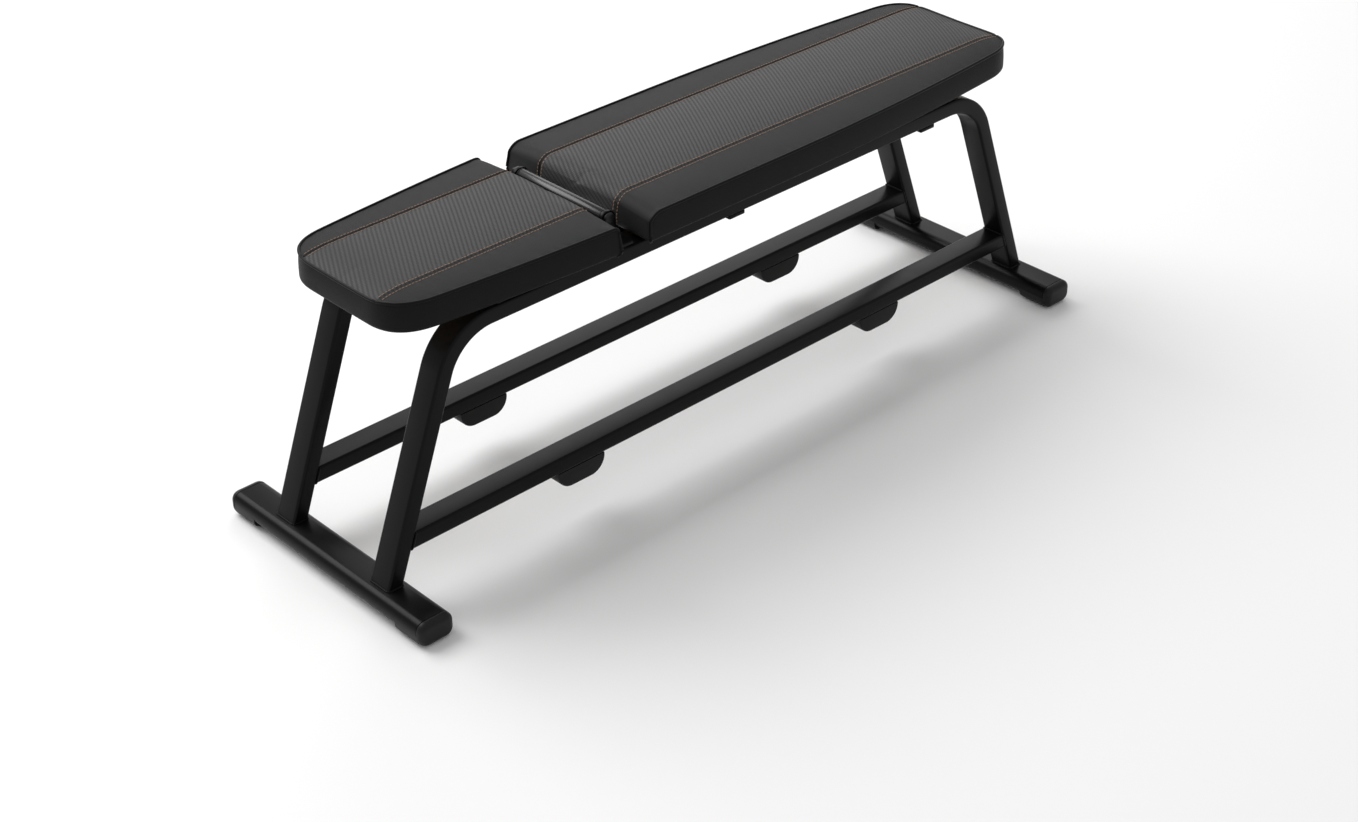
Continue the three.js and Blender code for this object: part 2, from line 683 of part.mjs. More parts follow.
// A ladder plate hangs under the two cross straps, with a row of notches in its upper edge.
function addLadderPlates() {
  const [frontStrap, rearStrap] = Object.values(strapPlaces);
  const start = frontStrap - strap.width / 2;
  const stop = rearStrap + strap.width / 2;
  const riseStart = frontStrap + strap.width / 2 + ladder.strapGap;
  const riseStop = rearStrap - strap.width / 2 - ladder.strapGap;
  const edgeFirst = ladder.first - ladder.before;
  const edgeRange = ladder.last + ladder.past - edgeFirst;
  const hoverDrop = propSleeve.radius + ladder.hover;
  const steps = 4 * ladder.count;
  const edge = Array.from({ length: steps + 1 }, (_, k) => {
    const [x, z] = crossbarAt(edgeFirst + edgeRange * k / steps);
    return [x, z - hoverDrop];
  }).filter(([x]) => x > riseStart && x < riseStop);
  const step = (ladder.last - ladder.first) / (ladder.count - 1);
  const places = Array.from({ length: ladder.count }, (_, k) => crossbarAt(ladder.first + step * k));
  const radius = propSleeve.radius + ladder.slack;
  const notches = places.map(([x, z]) => {
    const bottom = z - ladder.depth - radius;
    const floor = [[x - radius, bottom, radius - flatLeft], [x + radius, bottom, radius - flatLeft]];
    const mouth = roundedShape([...floor, [x + radius, z], [x - radius, z]]);
    return prismY(mouth, ladderInner - through, ladderOuter + through);
  });
  const seatZ = strapBottom - clearance;
  const deepest = Math.min(seatZ, ...places.map(([, z]) => z - ladder.depth - radius));
  const low = deepest - ladder.web;
  const foot = [[start, low, ladder.corner], [stop, low, ladder.corner], [stop, seatZ]];
  const rear = [[riseStop, seatZ], [riseStop, edge[0][1]]];
  const front = [[riseStart, edge.at(-1)[1]], [riseStart, seatZ], [start, seatZ]];
  const outline = roundedShape([...foot, ...rear, ...edge, ...front]);
  for (const [side, sign] of Object.entries(sides)) {
    const plate = cut(prismY(outline, ladderInner, ladderOuter), ...notches);
    const shift = sign > 0 ? 0 : -ladderInner - ladderOuter;
    addPiece(`ladder_plate_${side}`, plate.translate(0, shift, 0), steel);
  }
}

// ---------- The whole bench ----------

function boltPlaces(places, spread) {
  return Object.values(places).flatMap((x) => Object.values(sides).map((sign) => [x, sign * spread / 2]));
}

for (const [end, sign] of Object.entries(ends)) addFoot(end, sign * foot.span / 2);
for (const end of Object.keys(ends)) {
  for (const side of Object.keys(sides)) {
    addFootCap(end, side);
    addRailBlock(end, side);
  }
}
for (const side of Object.keys(sides)) {
  addSideFrame(side);
  addRackRail(side);
}
addCrossStraps();
addSeatStraps();
addPad('seat', seat, boltPlaces(seatStrap.places, seatStrap.boltSpread));
addPad('back', back, boltPlaces(crossPlate.places, crossPlate.boltSpread));
addHingeBrackets();
addHingeBolt();
addHingeSleeve();
addHingeArms();
addBackRails();
addCrossPlates();
addRestBumpers();
addProp();
addPropPin();
addLadderPlates();

export default bench;
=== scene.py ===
# %% [markdown]
# # An adjustable weight bench, finished in Blender
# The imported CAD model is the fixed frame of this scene. Every tube, plate and pad below takes its
# place from that frame, so nothing is fitted by eye. What Blender adds is what a saw and a lathe
# can't draw: swelling foam, sewn seams, thread, weld beads, rounded edges and surface finishes.

# %% Load the frame
import json
import math

import bmesh
import bpy
import numpy as np
from mathutils import Matrix, Vector


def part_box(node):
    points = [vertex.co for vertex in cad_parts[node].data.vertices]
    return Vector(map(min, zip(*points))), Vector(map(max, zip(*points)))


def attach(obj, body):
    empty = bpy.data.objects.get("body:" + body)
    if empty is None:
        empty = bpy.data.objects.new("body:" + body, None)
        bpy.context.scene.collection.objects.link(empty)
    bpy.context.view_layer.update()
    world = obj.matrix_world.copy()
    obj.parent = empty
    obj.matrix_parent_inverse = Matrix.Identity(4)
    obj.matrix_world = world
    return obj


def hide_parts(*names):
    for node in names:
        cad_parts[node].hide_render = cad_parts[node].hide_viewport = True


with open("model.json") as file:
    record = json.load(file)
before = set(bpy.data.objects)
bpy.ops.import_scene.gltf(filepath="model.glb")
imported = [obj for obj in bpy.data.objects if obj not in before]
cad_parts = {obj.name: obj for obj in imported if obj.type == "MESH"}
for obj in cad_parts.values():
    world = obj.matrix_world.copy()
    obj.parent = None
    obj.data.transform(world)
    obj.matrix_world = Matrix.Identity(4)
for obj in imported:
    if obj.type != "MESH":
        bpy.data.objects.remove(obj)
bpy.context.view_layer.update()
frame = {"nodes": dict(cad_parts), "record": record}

MM = 0.001
print("frame loaded:", len(frame["nodes"]), "CAD nodes")

# %% [markdown]
# ## Reading sizes from the frame
# A box gives the lowest and highest corner of a node. The few section sizes that a box can't tell,
# such as a corner radius, are named here once.

# %% Sizes
SIDES = {"left": -1, "right": 1}
ENDS = {"front": -1, "rear": 1}

TUBE_CORNER = 4 * MM
FOOT_CORNER = 13 * MM
BEND_RADIUS = 85 * MM
BLOCK_CORNER = 25 * MM
LEG_INSET = 2 * MM  # from a foot's middle to the leg that stands on it
STRAP_TO_CORNER = 95 * MM  # from the rear strap to the side frame's corner
CLEARANCE = 0.3 * MM
CAP_TIP = 9.5 * MM  # rounding of a foot cap's tip
CAP_LOW_CORNER = 14 * MM
CORNER_STEPS = 7


def node_box(name):
    """The two corners of a CAD node as numpy arrays."""
    low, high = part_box(name)
    return np.array(low), np.array(high)


# %% [markdown]
# ## Meshes from arrays
# Most pieces here are lofts: rings of points, one ring after another, joined by four-sided faces.
# A loft is the natural way to draw a drawn tube, a moulded cap or a sewn edge, because the maker
# also starts from one section and carries it along.

# %% Mesh helpers
def make_mesh(name, points, faces, materials, material_of_face=None, uvs=None, smooth=True):
    """A mesh object from an (n, 3) array of points and a list of faces."""
    mesh = bpy.data.meshes.new(name)
    mesh.from_pydata(np.asarray(points).tolist(), [], faces)
    for material in materials:
        mesh.materials.append(material)
    if material_of_face is not None:
        mesh.polygons.foreach_set("material_index", np.asarray(material_of_face, np.int32))
    mesh.polygons.foreach_set("use_smooth", np.full(len(mesh.polygons), smooth))
    if uvs is not None:
        layer = mesh.uv_layers.new(name="Cloth")
        layer.data.foreach_set("uv", np.asarray(uvs, np.float32).ravel())
    mesh.update()
    piece = bpy.data.objects.new(name, mesh)
    bpy.context.scene.collection.objects.link(piece)
    return piece


def grid_faces(index):
    """Quads between neighbouring entries of a 2D array of vertex numbers."""
    a, b = index[:-1, :-1], index[1:, :-1]
    c, d = index[1:, 1:], index[:-1, 1:]
    return np.stack([a, b, c, d], axis=-1).reshape(-1, 4)


def ring_faces(rings, count, first=0):
    """Quads between closed rings of points that are numbered one ring after another."""
    index = first + np.arange(rings * count).reshape(rings, count)
    index = np.concatenate([index, index[:, :1]], axis=1)
    return grid_faces(index)


def fix_normals(piece):
    """Turns all faces of a closed piece outwards."""
    shape = bmesh.new()
    shape.from_mesh(piece.data)
    bmesh.ops.recalc_face_normals(shape, faces=shape.faces)
    shape.to_mesh(piece.data)
    shape.free()
    return piece


def loft(name, rings, material):
    """A closed skin through rings of shape (rings, points, 3), with a flat face at each end."""
    rings = np.asarray(rings, float)
    steps, count = rings.shape[:2]
    faces = ring_faces(steps, count).tolist()
    faces += [list(range(count))[::-1], list(range((steps - 1) * count, steps * count))]
    piece = make_mesh(name, rings.reshape(-1, 3), faces, [material])
    return fix_normals(piece)


def soften(piece, width, segments=2, angle=35):
    """Rounds the sharp edges with a bevel and keeps the flats flat in the shading."""
    bevel = piece.modifiers.new("soft edges", "BEVEL")
    bevel.width = width
    bevel.segments = segments
    bevel.limit_method = "ANGLE"
    bevel.angle_limit = math.radians(angle)
    bevel.harden_normals = True
    return piece


def rounded_rectangle(width, height, low_corner, high_corner=None, steps=CORNER_STEPS):
    """Points round a rectangle centred on zero: four quarter circles joined by straight lines.
    The lower pair of corners and the upper pair may have different radii."""
    high_corner = low_corner if high_corner is None else high_corner
    turns = np.linspace(0, math.pi / 2, steps)
    points = []
    corners = [(1, 1, high_corner), (-1, 1, high_corner), (-1, -1, low_corner), (1, -1, low_corner)]
    for quarter, (x, y, radius) in enumerate(corners):
        angle = turns + quarter * math.pi / 2
        centre = np.array([x * (width / 2 - radius), y * (height / 2 - radius)])
        points.append(centre + radius * np.stack([np.cos(angle), np.sin(angle)], axis=1))
    return np.concatenate(points)


def merged_copy(node, name, material, edge=0.5 * MM):
    """A copy of a CAD node with its triangles merged into flats and its edges softened."""
    shape = bmesh.new()
    shape.from_mesh(frame["nodes"][node].data)
    bmesh.ops.remove_doubles(shape, verts=shape.verts, dist=1e-6)
    flat = math.radians(1)
    bmesh.ops.dissolve_limit(shape, angle_limit=flat, verts=shape.verts, edges=shape.edges)
    mesh = bpy.data.meshes.new(name)
    shape.to_mesh(mesh)
    shape.free()
    mesh.materials.clear()
    mesh.materials.append(material)
    mesh.polygons.foreach_set("use_smooth", np.full(len(mesh.polygons), True))
    piece = bpy.data.objects.new(name, mesh)
    bpy.context.scene.collection.objects.link(piece)
    return soften(piece, edge)


def settle(piece, body, node):
    """Hangs a piece on the body it rides on and hides the CAD node that it replaces."""
    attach(piece, body)
    if node:
        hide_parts(*([node] if isinstance(node, str) else node))
    return piece


# %% [markdown]
# ## Finishes
# Each finish is a small node tree on object coordinates or on the cloth's own map, so it needs no
# image. The helpers here add one node each, which keeps the recipes below short enough to read.

# %% Node helpers
def new_material(name, color, roughness, **settings):
    """A material with one Principled shader, and its node tree's handles."""
    material = bpy.data.materials.new(name)
    material.use_nodes = True
    tree = material.node_tree
    shader = tree.nodes["Principled BSDF"]
    shader.inputs["Base Color"].default_value = (*color, 1)
    shader.inputs["Roughness"].default_value = roughness
    for key, value in settings.items():
        shader.inputs[key.replace("_", " ")].default_value = value
    material.diffuse_color = (*color, 1)
    return material, tree, shader


def node(tree, kind, inputs=None, **settings):
    """Adds a node, sets its options, and fills its inputs from numbers or other nodes' outputs."""
    made = tree.nodes.new(kind)
    for key, value in settings.items():
        setattr(made, key, value)
    for key, value in (inputs or {}).items():
        if isinstance(value, bpy.types.NodeSocket):
            tree.links.new(value, made.inputs[key])
        else:
            made.inputs[key].default_value = value
    return made


def math_node(tree, operation, *values):
    """The result of one Math node on numbers or sockets."""
    return node(tree, "ShaderNodeMath", dict(enumerate(values)), operation=operation).outputs[0]


def object_point(tree):
    """The point on the piece in its own coordinates, in metres."""
    return tree.nodes.new("ShaderNodeTexCoord").outputs["Object"]


def noise(tree, point, scale, detail=2.0, roughness=0.5):
    """A noise value from 0 to 1 at that many waves per metre."""
    inputs = {"Vector": point, "Scale": scale, "Detail": detail, "Roughness": roughness}
    return node(tree, "ShaderNodeTexNoise", inputs).outputs["Fac"]


def between(tree, value, low, high):
    """Maps 0..1 to low..high."""
    inputs = {"Value": value, "To Min": low, "To Max": high}
    return node(tree, "ShaderNodeMapRange", inputs).outputs[0]


def blend_colors(tree, factor, first, second):
    """Mixes two colours by a factor."""
    mix = node(tree, "ShaderNodeMix", data_type="RGBA")
    tree.links.new(factor, mix.inputs["Factor"])
    mix.inputs[6].default_value = (*first, 1)
    mix.inputs[7].default_value = (*second, 1)
    return mix.outputs[2]


def add_bump(tree, shader, height, strength, distance):
    """Raises the surface by a height map, in metres at full strength."""
    inputs = {"Height": height, "Strength": strength, "Distance": distance}
    bump = node(tree, "ShaderNodeBump", inputs)
    tree.links.new(bump.outputs["Normal"], shader.inputs["Normal"])


# %% [markdown]
# ## Paint, plate, plastic, rubber and wood
# The frame is powder coated: black powder is sprayed on and baked, which leaves a low, slightly
# uneven sheen. A plain black shader would look like ink, so each finish gets a little cloudy tone
# and a fine relief. The hinge tube is smoother, because hands and the cushion rub on it.

# %% Hard finishes
def powder_coat():
    """Black baked paint: low sheen, faint orange peel, and slightly uneven gloss."""
    material, tree, shader = new_material("powder coat black", (0.005, 0.005, 0.0052), 0.3)
    shader.inputs["Specular IOR Level"].default_value = 0.10
    point = object_point(tree)
    gloss = between(tree, noise(tree, point, 35, 3), 0.26, 0.36)
    tree.links.new(gloss, shader.inputs["Roughness"])
    shade = blend_colors(tree, noise(tree, point, 9, 4), (0.0025, 0.0025, 0.0026), (0.0045, 0.0045, 0.0047))
    tree.links.new(shade, shader.inputs["Base Color"])
    add_bump(tree, shader, noise(tree, point, 700, 1), 0.12, 0.15 * MM)
    return material


def plated_steel(name, color, roughness):
    """Zinc plated steel: brushed lightly, with soft cloudy tone."""
    material, tree, shader = new_material(name, color, roughness, Metallic=1.0)
    point = object_point(tree)
    clouds = noise(tree, point, 60, 4)
    low = tuple(0.8 * c for c in color)
    high = tuple(min(1.0, 1.15 * c) for c in color)
    tree.links.new(blend_colors(tree, clouds, low, high), shader.inputs["Base Color"])
    tree.links.new(between(tree, clouds, roughness - 0.06, roughness + 0.1), shader.inputs["Roughness"])
    add_bump(tree, shader, noise(tree, point, 1600, 1), 0.1, 0.05 * MM)
    return material


def moulded_plastic():
    """Injection moulded black plastic with a fine spark-eroded texture."""
    material, tree, shader = new_material("moulded plastic", (0.006, 0.006, 0.0062), 0.42)
    shader.inputs["Specular IOR Level"].default_value = 0.22
    point = object_point(tree)
    tree.links.new(between(tree, noise(tree, point, 50, 2), 0.36, 0.50), shader.inputs["Roughness"])
    add_bump(tree, shader, noise(tree, point, 1400, 2), 0.25, 0.1 * MM)
    return material


def black_rubber():
    """Matt rubber with fine speckle and a dusty tone in places."""
    material, tree, shader = new_material("black rubber", (0.007, 0.007, 0.007), 0.6)
    shader.inputs["Specular IOR Level"].default_value = 0.2
    point = object_point(tree)
    shade = blend_colors(tree, noise(tree, point, 30, 5), (0.005, 0.005, 0.005), (0.010, 0.0098, 0.0095))
    tree.links.new(shade, shader.inputs["Base Color"])
    add_bump(tree, shader, noise(tree, point, 900, 3), 0.3, 0.12 * MM)
    return material


def gloss_black():
    """The hinge tube's smooth black coat: shinier than the frame's, worn smooth by handling."""
    material, tree, shader = new_material("gloss black", (0.008, 0.008, 0.0082), 0.2)
    shader.inputs["Specular IOR Level"].default_value = 0.36
    point = object_point(tree)
    tree.links.new(between(tree, noise(tree, point, 45, 3), 0.18, 0.28), shader.inputs["Roughness"])
    return material


def raw_plywood():
    """Plywood's face: long pale and brown figure along the board."""
    material, tree, shader = new_material("raw plywood", (0.40, 0.27, 0.15), 0.7)
    stretched = node(tree, "ShaderNodeMapping", {"Vector": object_point(tree)})
    stretched.inputs["Scale"].default_value = (1.0, 14.0, 14.0)
    figure = noise(tree, stretched.outputs[0], 9, 6, 0.6)
    shade = blend_colors(tree, figure, (0.25, 0.15, 0.08), (0.52, 0.37, 0.22))
    tree.links.new(shade, shader.inputs["Base Color"])
    add_bump(tree, shader, noise(tree, stretched.outputs[0], 60, 2), 0.2, 0.2 * MM)
    return material


COAT = powder_coat()
ZINC = plated_steel("zinc plate", (0.27, 0.275, 0.28), 0.33)
DARK_STEEL = plated_steel("black zinc plate", (0.035, 0.035, 0.037), 0.38)
GLOSS = gloss_black()
PLASTIC = moulded_plastic()
RUBBER = black_rubber()
PLYWOOD = raw_plywood()
print("hard finishes made")

# %% [markdown]
# ## Upholstery finishes
# The pads have three vinyls. The centre panel is embossed like a carbon-fibre twill, the strips
# beside it are a fine grained grey, and the boxing round the sides is near black. The twill is
# worked out on the cloth's own map, in metres, so it runs over the rounded front edge as the
# real sheet does.

# %% Twill, grained vinyl, boxing and thread
TOW_ALONG = 1.65 * MM  # embossed yarns along the pad, which set the steep diagonal
TOW_ACROSS = 2.85 * MM


def twill_vinyl():
    """A 2 x 2 twill. With i and j the yarn numbers along and across, the lengthwise yarn is on
    top where (i - j) modulo 4 is below 2. Each yarn's height is 1 - (2 f - 1)^2 across its width."""
    material, tree, shader = new_material("twill vinyl", (0.05, 0.05, 0.051), 0.5)
    shader.inputs["Specular IOR Level"].default_value = 0.16
    cloth = node(tree, "ShaderNodeUVMap", uv_map="Cloth").outputs[0]
    split = node(tree, "ShaderNodeSeparateXYZ", {"Vector": cloth})
    along = math_node(tree, "DIVIDE", split.outputs[0], TOW_ALONG)
    across = math_node(tree, "DIVIDE", split.outputs[1], TOW_ACROSS)
    step = math_node(tree, "SUBTRACT", math_node(tree, "FLOOR", along), math_node(tree, "FLOOR", across))
    on_top = math_node(tree, "LESS_THAN", math_node(tree, "FLOORED_MODULO", step, 4.0), 2.0)

    def yarn(position):
        """The rounded height of a yarn across its width."""
        part = math_node(tree, "FRACT", position)
        centred = math_node(tree, "MULTIPLY_ADD", part, 2.0, -1.0)
        return math_node(tree, "SUBTRACT", 1.0, math_node(tree, "MULTIPLY", centred, centred))

    lengthwise = math_node(tree, "MULTIPLY", yarn(across), on_top)
    under = math_node(tree, "SUBTRACT", 1.0, on_top)
    crosswise = math_node(tree, "MULTIPLY", yarn(along), under)
    height = math_node(tree, "ADD", lengthwise, crosswise)
    # Painted light: the colour is darker at each yarn's edges as painted shade in the grooves, and lighter
    # on the lengthwise yarns on top as painted sheen.
    painted_shade_and_sheen = math_node(tree, "MULTIPLY_ADD", height, 0.35, math_node(tree, "MULTIPLY", on_top, 0.55))
    shade = blend_colors(tree, painted_shade_and_sheen, (0.019, 0.019, 0.0195), (0.052, 0.052, 0.0515))
    tree.links.new(shade, shader.inputs["Base Color"])
    tree.links.new(between(tree, on_top, 0.56, 0.44), shader.inputs["Roughness"])
    add_bump(tree, shader, height, 0.5, 0.25 * MM)
    return material


def grained_vinyl(name, color, roughness, grain):
    """Leather grain: small rounded cells with creases between them, over a broad soft unevenness."""
    material, tree, shader = new_material(name, color, roughness)
    shader.inputs["Specular IOR Level"].default_value = 0.11
    cloth = node(tree, "ShaderNodeUVMap", uv_map="Cloth").outputs[0]
    inputs = {"Vector": cloth, "Scale": 1 / grain}
    cells = node(tree, "ShaderNodeTexVoronoi", inputs, feature="DISTANCE_TO_EDGE").outputs["Distance"]
    crease = node(tree, "ShaderNodeMapRange", {"Value": cells, "From Max": 0.18}).outputs[0]
    broad = noise(tree, cloth, 26, 4)
    height = math_node(tree, "MULTIPLY_ADD", broad, 0.6, crease)
    low = tuple(0.82 * c for c in color)
    high = tuple(1.18 * c for c in color)
    tree.links.new(blend_colors(tree, broad, low, high), shader.inputs["Base Color"])
    tree.links.new(between(tree, crease, roughness + 0.12, roughness - 0.03), shader.inputs["Roughness"])
    add_bump(tree, shader, height, 0.35, 0.12 * MM)
    return material


def sewing_thread():
    """Bonded polyester thread in copper orange, with painted shade and highlight as fine lines along the
    twist of its plies.
    """
    material, tree, shader = new_material("copper thread", (0.20, 0.105, 0.06), 0.5)
    inputs = {"Vector": object_point(tree), "Scale": 900.0, "Distortion": 0.6}
    # Painted light: the wave lines are shade between the twisted plies and highlight on them, painted into
    # the colour.
    painted_ply_shading = node(tree, "ShaderNodeTexWave", inputs)
    shade = blend_colors(tree, painted_ply_shading.outputs["Fac"], (0.20, 0.105, 0.062), (0.38, 0.205, 0.120))
    tree.links.new(shade, shader.inputs["Base Color"])
    shader.inputs["Sheen Weight"].default_value = 0.3
    return material


TWILL = twill_vinyl()
STRIP = grained_vinyl("grey grained vinyl", (0.016, 0.016, 0.0162), 0.5, 0.9 * MM)
BOXING = grained_vinyl("black boxing vinyl", (0.0045, 0.0045, 0.0046), 0.5, 1.1 * MM)
PIPING = grained_vinyl("black piping vinyl", (0.003, 0.003, 0.003), 0.45, 0.8 * MM)
THREAD = sewing_thread()
print("upholstery finishes made")

# %% [markdown]
# ## Foot tubes and their moulded caps
# A foot is a flat-oval tube that lies across the bench. The plain way to draw it is a cylinder
# primitive squashed flat, but the real section has flat top and sides with large round corners,
# so it is lofted from a rounded rectangle. The cap is one moulding: a rounded tip outside the tube
# and a sole that runs back under it.

# %% Feet
def foot_tube(end):
    """A straight loft of the foot's section between its two caps, with a rounded rim."""
    low, high = node_box(f"foot_tube_{end}")
    size = high - low
    centre = (low + high) / 2
    section = rounded_rectangle(size[0], size[2], FOOT_CORNER, steps=11)
    rim = 0.5 * MM
    stations = [(low[1], rim), (low[1] + rim, 0), (high[1] - rim, 0), (high[1], rim)]
    rings = []
    for y, inset in stations:
        ring = section * (1 - 2 * inset / np.array([size[0], size[2]]))
        rings.append(np.insert(ring + centre[[0, 2]], 1, y, axis=1))
    piece = loft(f"foot_tube_skin_{end}", rings, COAT)
    return settle(soften(piece, 0.3 * MM), "frame", f"foot_tube_{end}")


def sole_section(width, tube_low, lift, steps):
    """The crescent under a tube: its upper edge follows the tube's lower corners, and its lower
    edge is the same curve moved down. Angles run from 10 degrees past each side to the bottom."""
    edge = math.radians(10)
    turns = np.linspace(edge, math.pi / 2, steps)
    centre = width / 2 - FOOT_CORNER
    corner = FOOT_CORNER + 0.1 * MM
    x = centre + corner * np.cos(turns)
    upper = tube_low + FOOT_CORNER - corner * np.sin(turns)
    lower = FOOT_CORNER - (FOOT_CORNER - lift) * np.sin(turns)
    right_top = np.stack([x, upper], axis=1)
    right_low = np.stack([centre + FOOT_CORNER * np.cos(turns), lower], axis=1)
    flip = np.array([-1, 1])
    return np.concatenate([right_top, (right_top * flip)[::-1], right_low * flip, right_low[::-1]])


def foot_cap(end, side):
    """Sections from the rounded tip to the end of the sole. The tip follows a quarter circle:
    at an angle a, the ring is r (1 - cos a) behind the tip and r (1 - sin a) smaller all round."""
    low, high = node_box(f"foot_cap_{end}_{side}")
    tube_low, tube_high = node_box(f"foot_tube_{end}")
    sign = SIDES[side]
    tip = high[1] if sign > 0 else -low[1]
    sole_end = min(abs(low[1]), abs(high[1]))
    join = tube_high[1] + CLEARANCE
    width, height = high[0] - low[0], high[2] - low[2]
    steps = 9
    turns = np.linspace(0, math.pi / 2, steps)
    stations = list(zip(tip - CAP_TIP * (1 - np.cos(turns)), CAP_TIP * (1 - np.sin(turns))))
    stations += [(join + 0.5 * MM, 0), (join, 0.5 * MM)]
    sections = []
    for y, inset in stations:
        corners = (CAP_LOW_CORNER - inset, FOOT_CORNER - inset, steps)
        section = rounded_rectangle(width - 2 * inset, height - 2 * inset, *corners)
        sections.append((y, section + [0, height / 2]))
    for y, lift in ((join, 0), (sole_end + 3 * MM, 0), (sole_end, 1.5 * MM)):
        sections.append((y, sole_section(width, tube_low[2], lift, steps)))
    centre = (low[0] + high[0]) / 2
    rings = [np.insert(section + [centre, 0], 1, sign * y, axis=1) for y, section in sections]
    piece = loft(f"foot_cap_moulding_{end}_{side}", rings, PLASTIC)
    return settle(soften(piece, 0.4 * MM, 2, 50), "frame", f"foot_cap_{end}_{side}")


for end in ENDS:
    foot_tube(end)
    for side in SIDES:
        foot_cap(end, side)
print("feet made: 2 tubes, 4 caps")

# %% [markdown]
# ## Bent side frames
# Each side frame is one flat tube, bent twice. A bend made of a few mitred cuts would show
# kinks in its highlight, so the centre line here has true arcs, and each leg's last ring is
# slid along the leg until it lies flat on the foot, as a sawn end does.

# %% Side frames and rack rails
def bent_path(corners, radius, steps):
    """Stations and directions along straight runs joined by arcs. At a corner with turn a, the
    arc starts radius * tan(a / 2) before it and its points go round a centre beside the run."""
    places, headings = [corners[0]], [corners[1] - corners[0]]
    for before, corner, after in zip(corners, corners[1:], corners[2:]):
        into = (corner - before) / np.linalg.norm(corner - before)
        out = (after - corner) / np.linalg.norm(after - corner)
        turn = math.acos(into @ out)
        start = corner - into * radius * math.tan(turn / 2)
        inward = out - into * (into @ out)
        inward /= np.linalg.norm(inward)
        angle = np.linspace(0, turn, steps)[:, None]
        places += list(start + radius * (np.sin(angle) * into + (1 - np.cos(angle)) * inward))
        headings += list(np.cos(angle) * into + np.sin(angle) * inward)
    places.append(corners[-1])
    headings.append(corners[-1] - corners[-2])
    headings = np.array(headings)
    return np.array(places), headings / np.linalg.norm(headings, axis=1, keepdims=True)


foot_low, foot_high = node_box("foot_tube_rear")
rail_low, rail_high = node_box("side_frame_right")
FOOT_TOP = foot_high[2]
rack_low, rack_high = node_box("rack_rail_right")
TUBE_DEPTH = rack_high[2] - rack_low[2]
TUBE_WIDTH = rail_high[1] - rail_low[1]
RAIL_Z = rail_high[2] - TUBE_DEPTH / 2
LEG_X = (foot_low[0] + foot_high[0]) / 2 - LEG_INSET
CORNER_X = node_box("cross_strap_rear")[1][0] + STRAP_TO_CORNER
LEG_HEADING = np.array([CORNER_X - LEG_X, 0, RAIL_Z - FOOT_TOP])
LEG_HEADING /= np.linalg.norm(LEG_HEADING)


def side_frame(side):
    """Carries the tube's rounded section along the bent centre line."""
    y = SIDES[side] * (rail_low[1] + rail_high[1]) / 2
    front = [[-LEG_X, y, FOOT_TOP], [-CORNER_X, y, RAIL_Z]]
    corners = np.array(front + [[CORNER_X, y, RAIL_Z], [LEG_X, y, FOOT_TOP]])
    places, headings = bent_path(corners, BEND_RADIUS, 25)
    section = rounded_rectangle(TUBE_WIDTH, TUBE_DEPTH, TUBE_CORNER)
    across = np.cross(headings, [0, 1, 0])
    rings = places[:, None] + section[None, :, 1, None] * across[:, None]
    rings[..., 1] += section[None, :, 0]
    floor_z = rail_low[2]
    for last in (0, -1):
        slide = (floor_z - rings[last][:, 2]) / headings[last][2]
        rings[last] += slide[:, None] * headings[last]
    piece = loft(f"side_frame_tube_{side}", rings, COAT)
    settle(soften(piece, 0.4 * MM, 2, 50), "frame", f"side_frame_{side}")
    return rings[0], rings[-1]


def rack_rail(side):
    """A straight tube whose end rings are slid along X until they lie on the slanted legs."""
    low, high = node_box(f"rack_rail_{side}")
    centre = (low + high) / 2
    section = rounded_rectangle(high[1] - low[1], high[2] - low[2], TUBE_CORNER)
    z = section[:, 1] + centre[2]
    leg_x = LEG_X + (z - FOOT_TOP) * LEG_HEADING[0] / LEG_HEADING[2]
    reach = leg_x - (TUBE_DEPTH / 2 + CLEARANCE) / LEG_HEADING[2]
    rings = [np.stack([sign * reach, section[:, 0] + centre[1], z], axis=1) for sign in (-1, 1)]
    piece = loft(f"rack_rail_tube_{side}", rings, COAT)
    settle(soften(piece, 0.4 * MM, 2, 50), "frame", f"rack_rail_{side}")
    return rings


leg_rings = {side: side_frame(side) for side in SIDES}
rail_rings = {side: rack_rail(side) for side in SIDES}
print("side frames and rack rails made; rail length", round(2 * abs(rail_rings["left"][1][:, 0]).max(), 4))

# %% [markdown]
# ## Weld beads
# Every joint of the frame is welded all round before painting. A bead is a thin rope of metal with
# a ripple where each drop froze. Here it is a tube along the joint's outline, whose radius waves
# by a tenth, and which takes the same paint as the tubes.

# %% Beads
def weld_bead(name, outline, radius, ripple=3.2 * MM):
    """A closed tube round an outline. Its radius is r (1 + 0.12 sin(2 pi length / ripple))."""
    closed = np.concatenate([outline, outline[:1]])
    lengths = np.linalg.norm(np.diff(closed, axis=0), axis=1)
    walked = np.concatenate([[0], np.cumsum(lengths)])
    count = int(walked[-1] / (0.8 * MM))
    at = np.linspace(0, walked[-1], count, endpoint=False)
    path = np.stack([np.interp(at, walked, closed[:, k]) for k in range(3)], axis=1)
    heading = np.roll(path, -1, axis=0) - np.roll(path, 1, axis=0)
    heading /= np.linalg.norm(heading, axis=1, keepdims=True)
    out = path - path.mean(axis=0)
    out -= heading * np.sum(out * heading, axis=1, keepdims=True)
    out /= np.linalg.norm(out, axis=1, keepdims=True)
    side = np.cross(heading, out)
    turns = np.linspace(0, 2 * math.pi, 8, endpoint=False)
    wave = radius * (1 + 0.12 * np.sin(2 * math.pi * at / ripple))[:, None, None]
    circle = np.cos(turns)[None, :, None] * out[:, None] + np.sin(turns)[None, :, None] * side[:, None]
    rings = path[:, None] + wave * circle
    index = np.pad(np.arange(count * 8).reshape(count, 8), ((0, 1), (0, 1)), mode="wrap")
    piece = make_mesh(name, rings.reshape(-1, 3), grid_faces(index).tolist(), [COAT])
    return settle(fix_normals(piece), "frame", None)


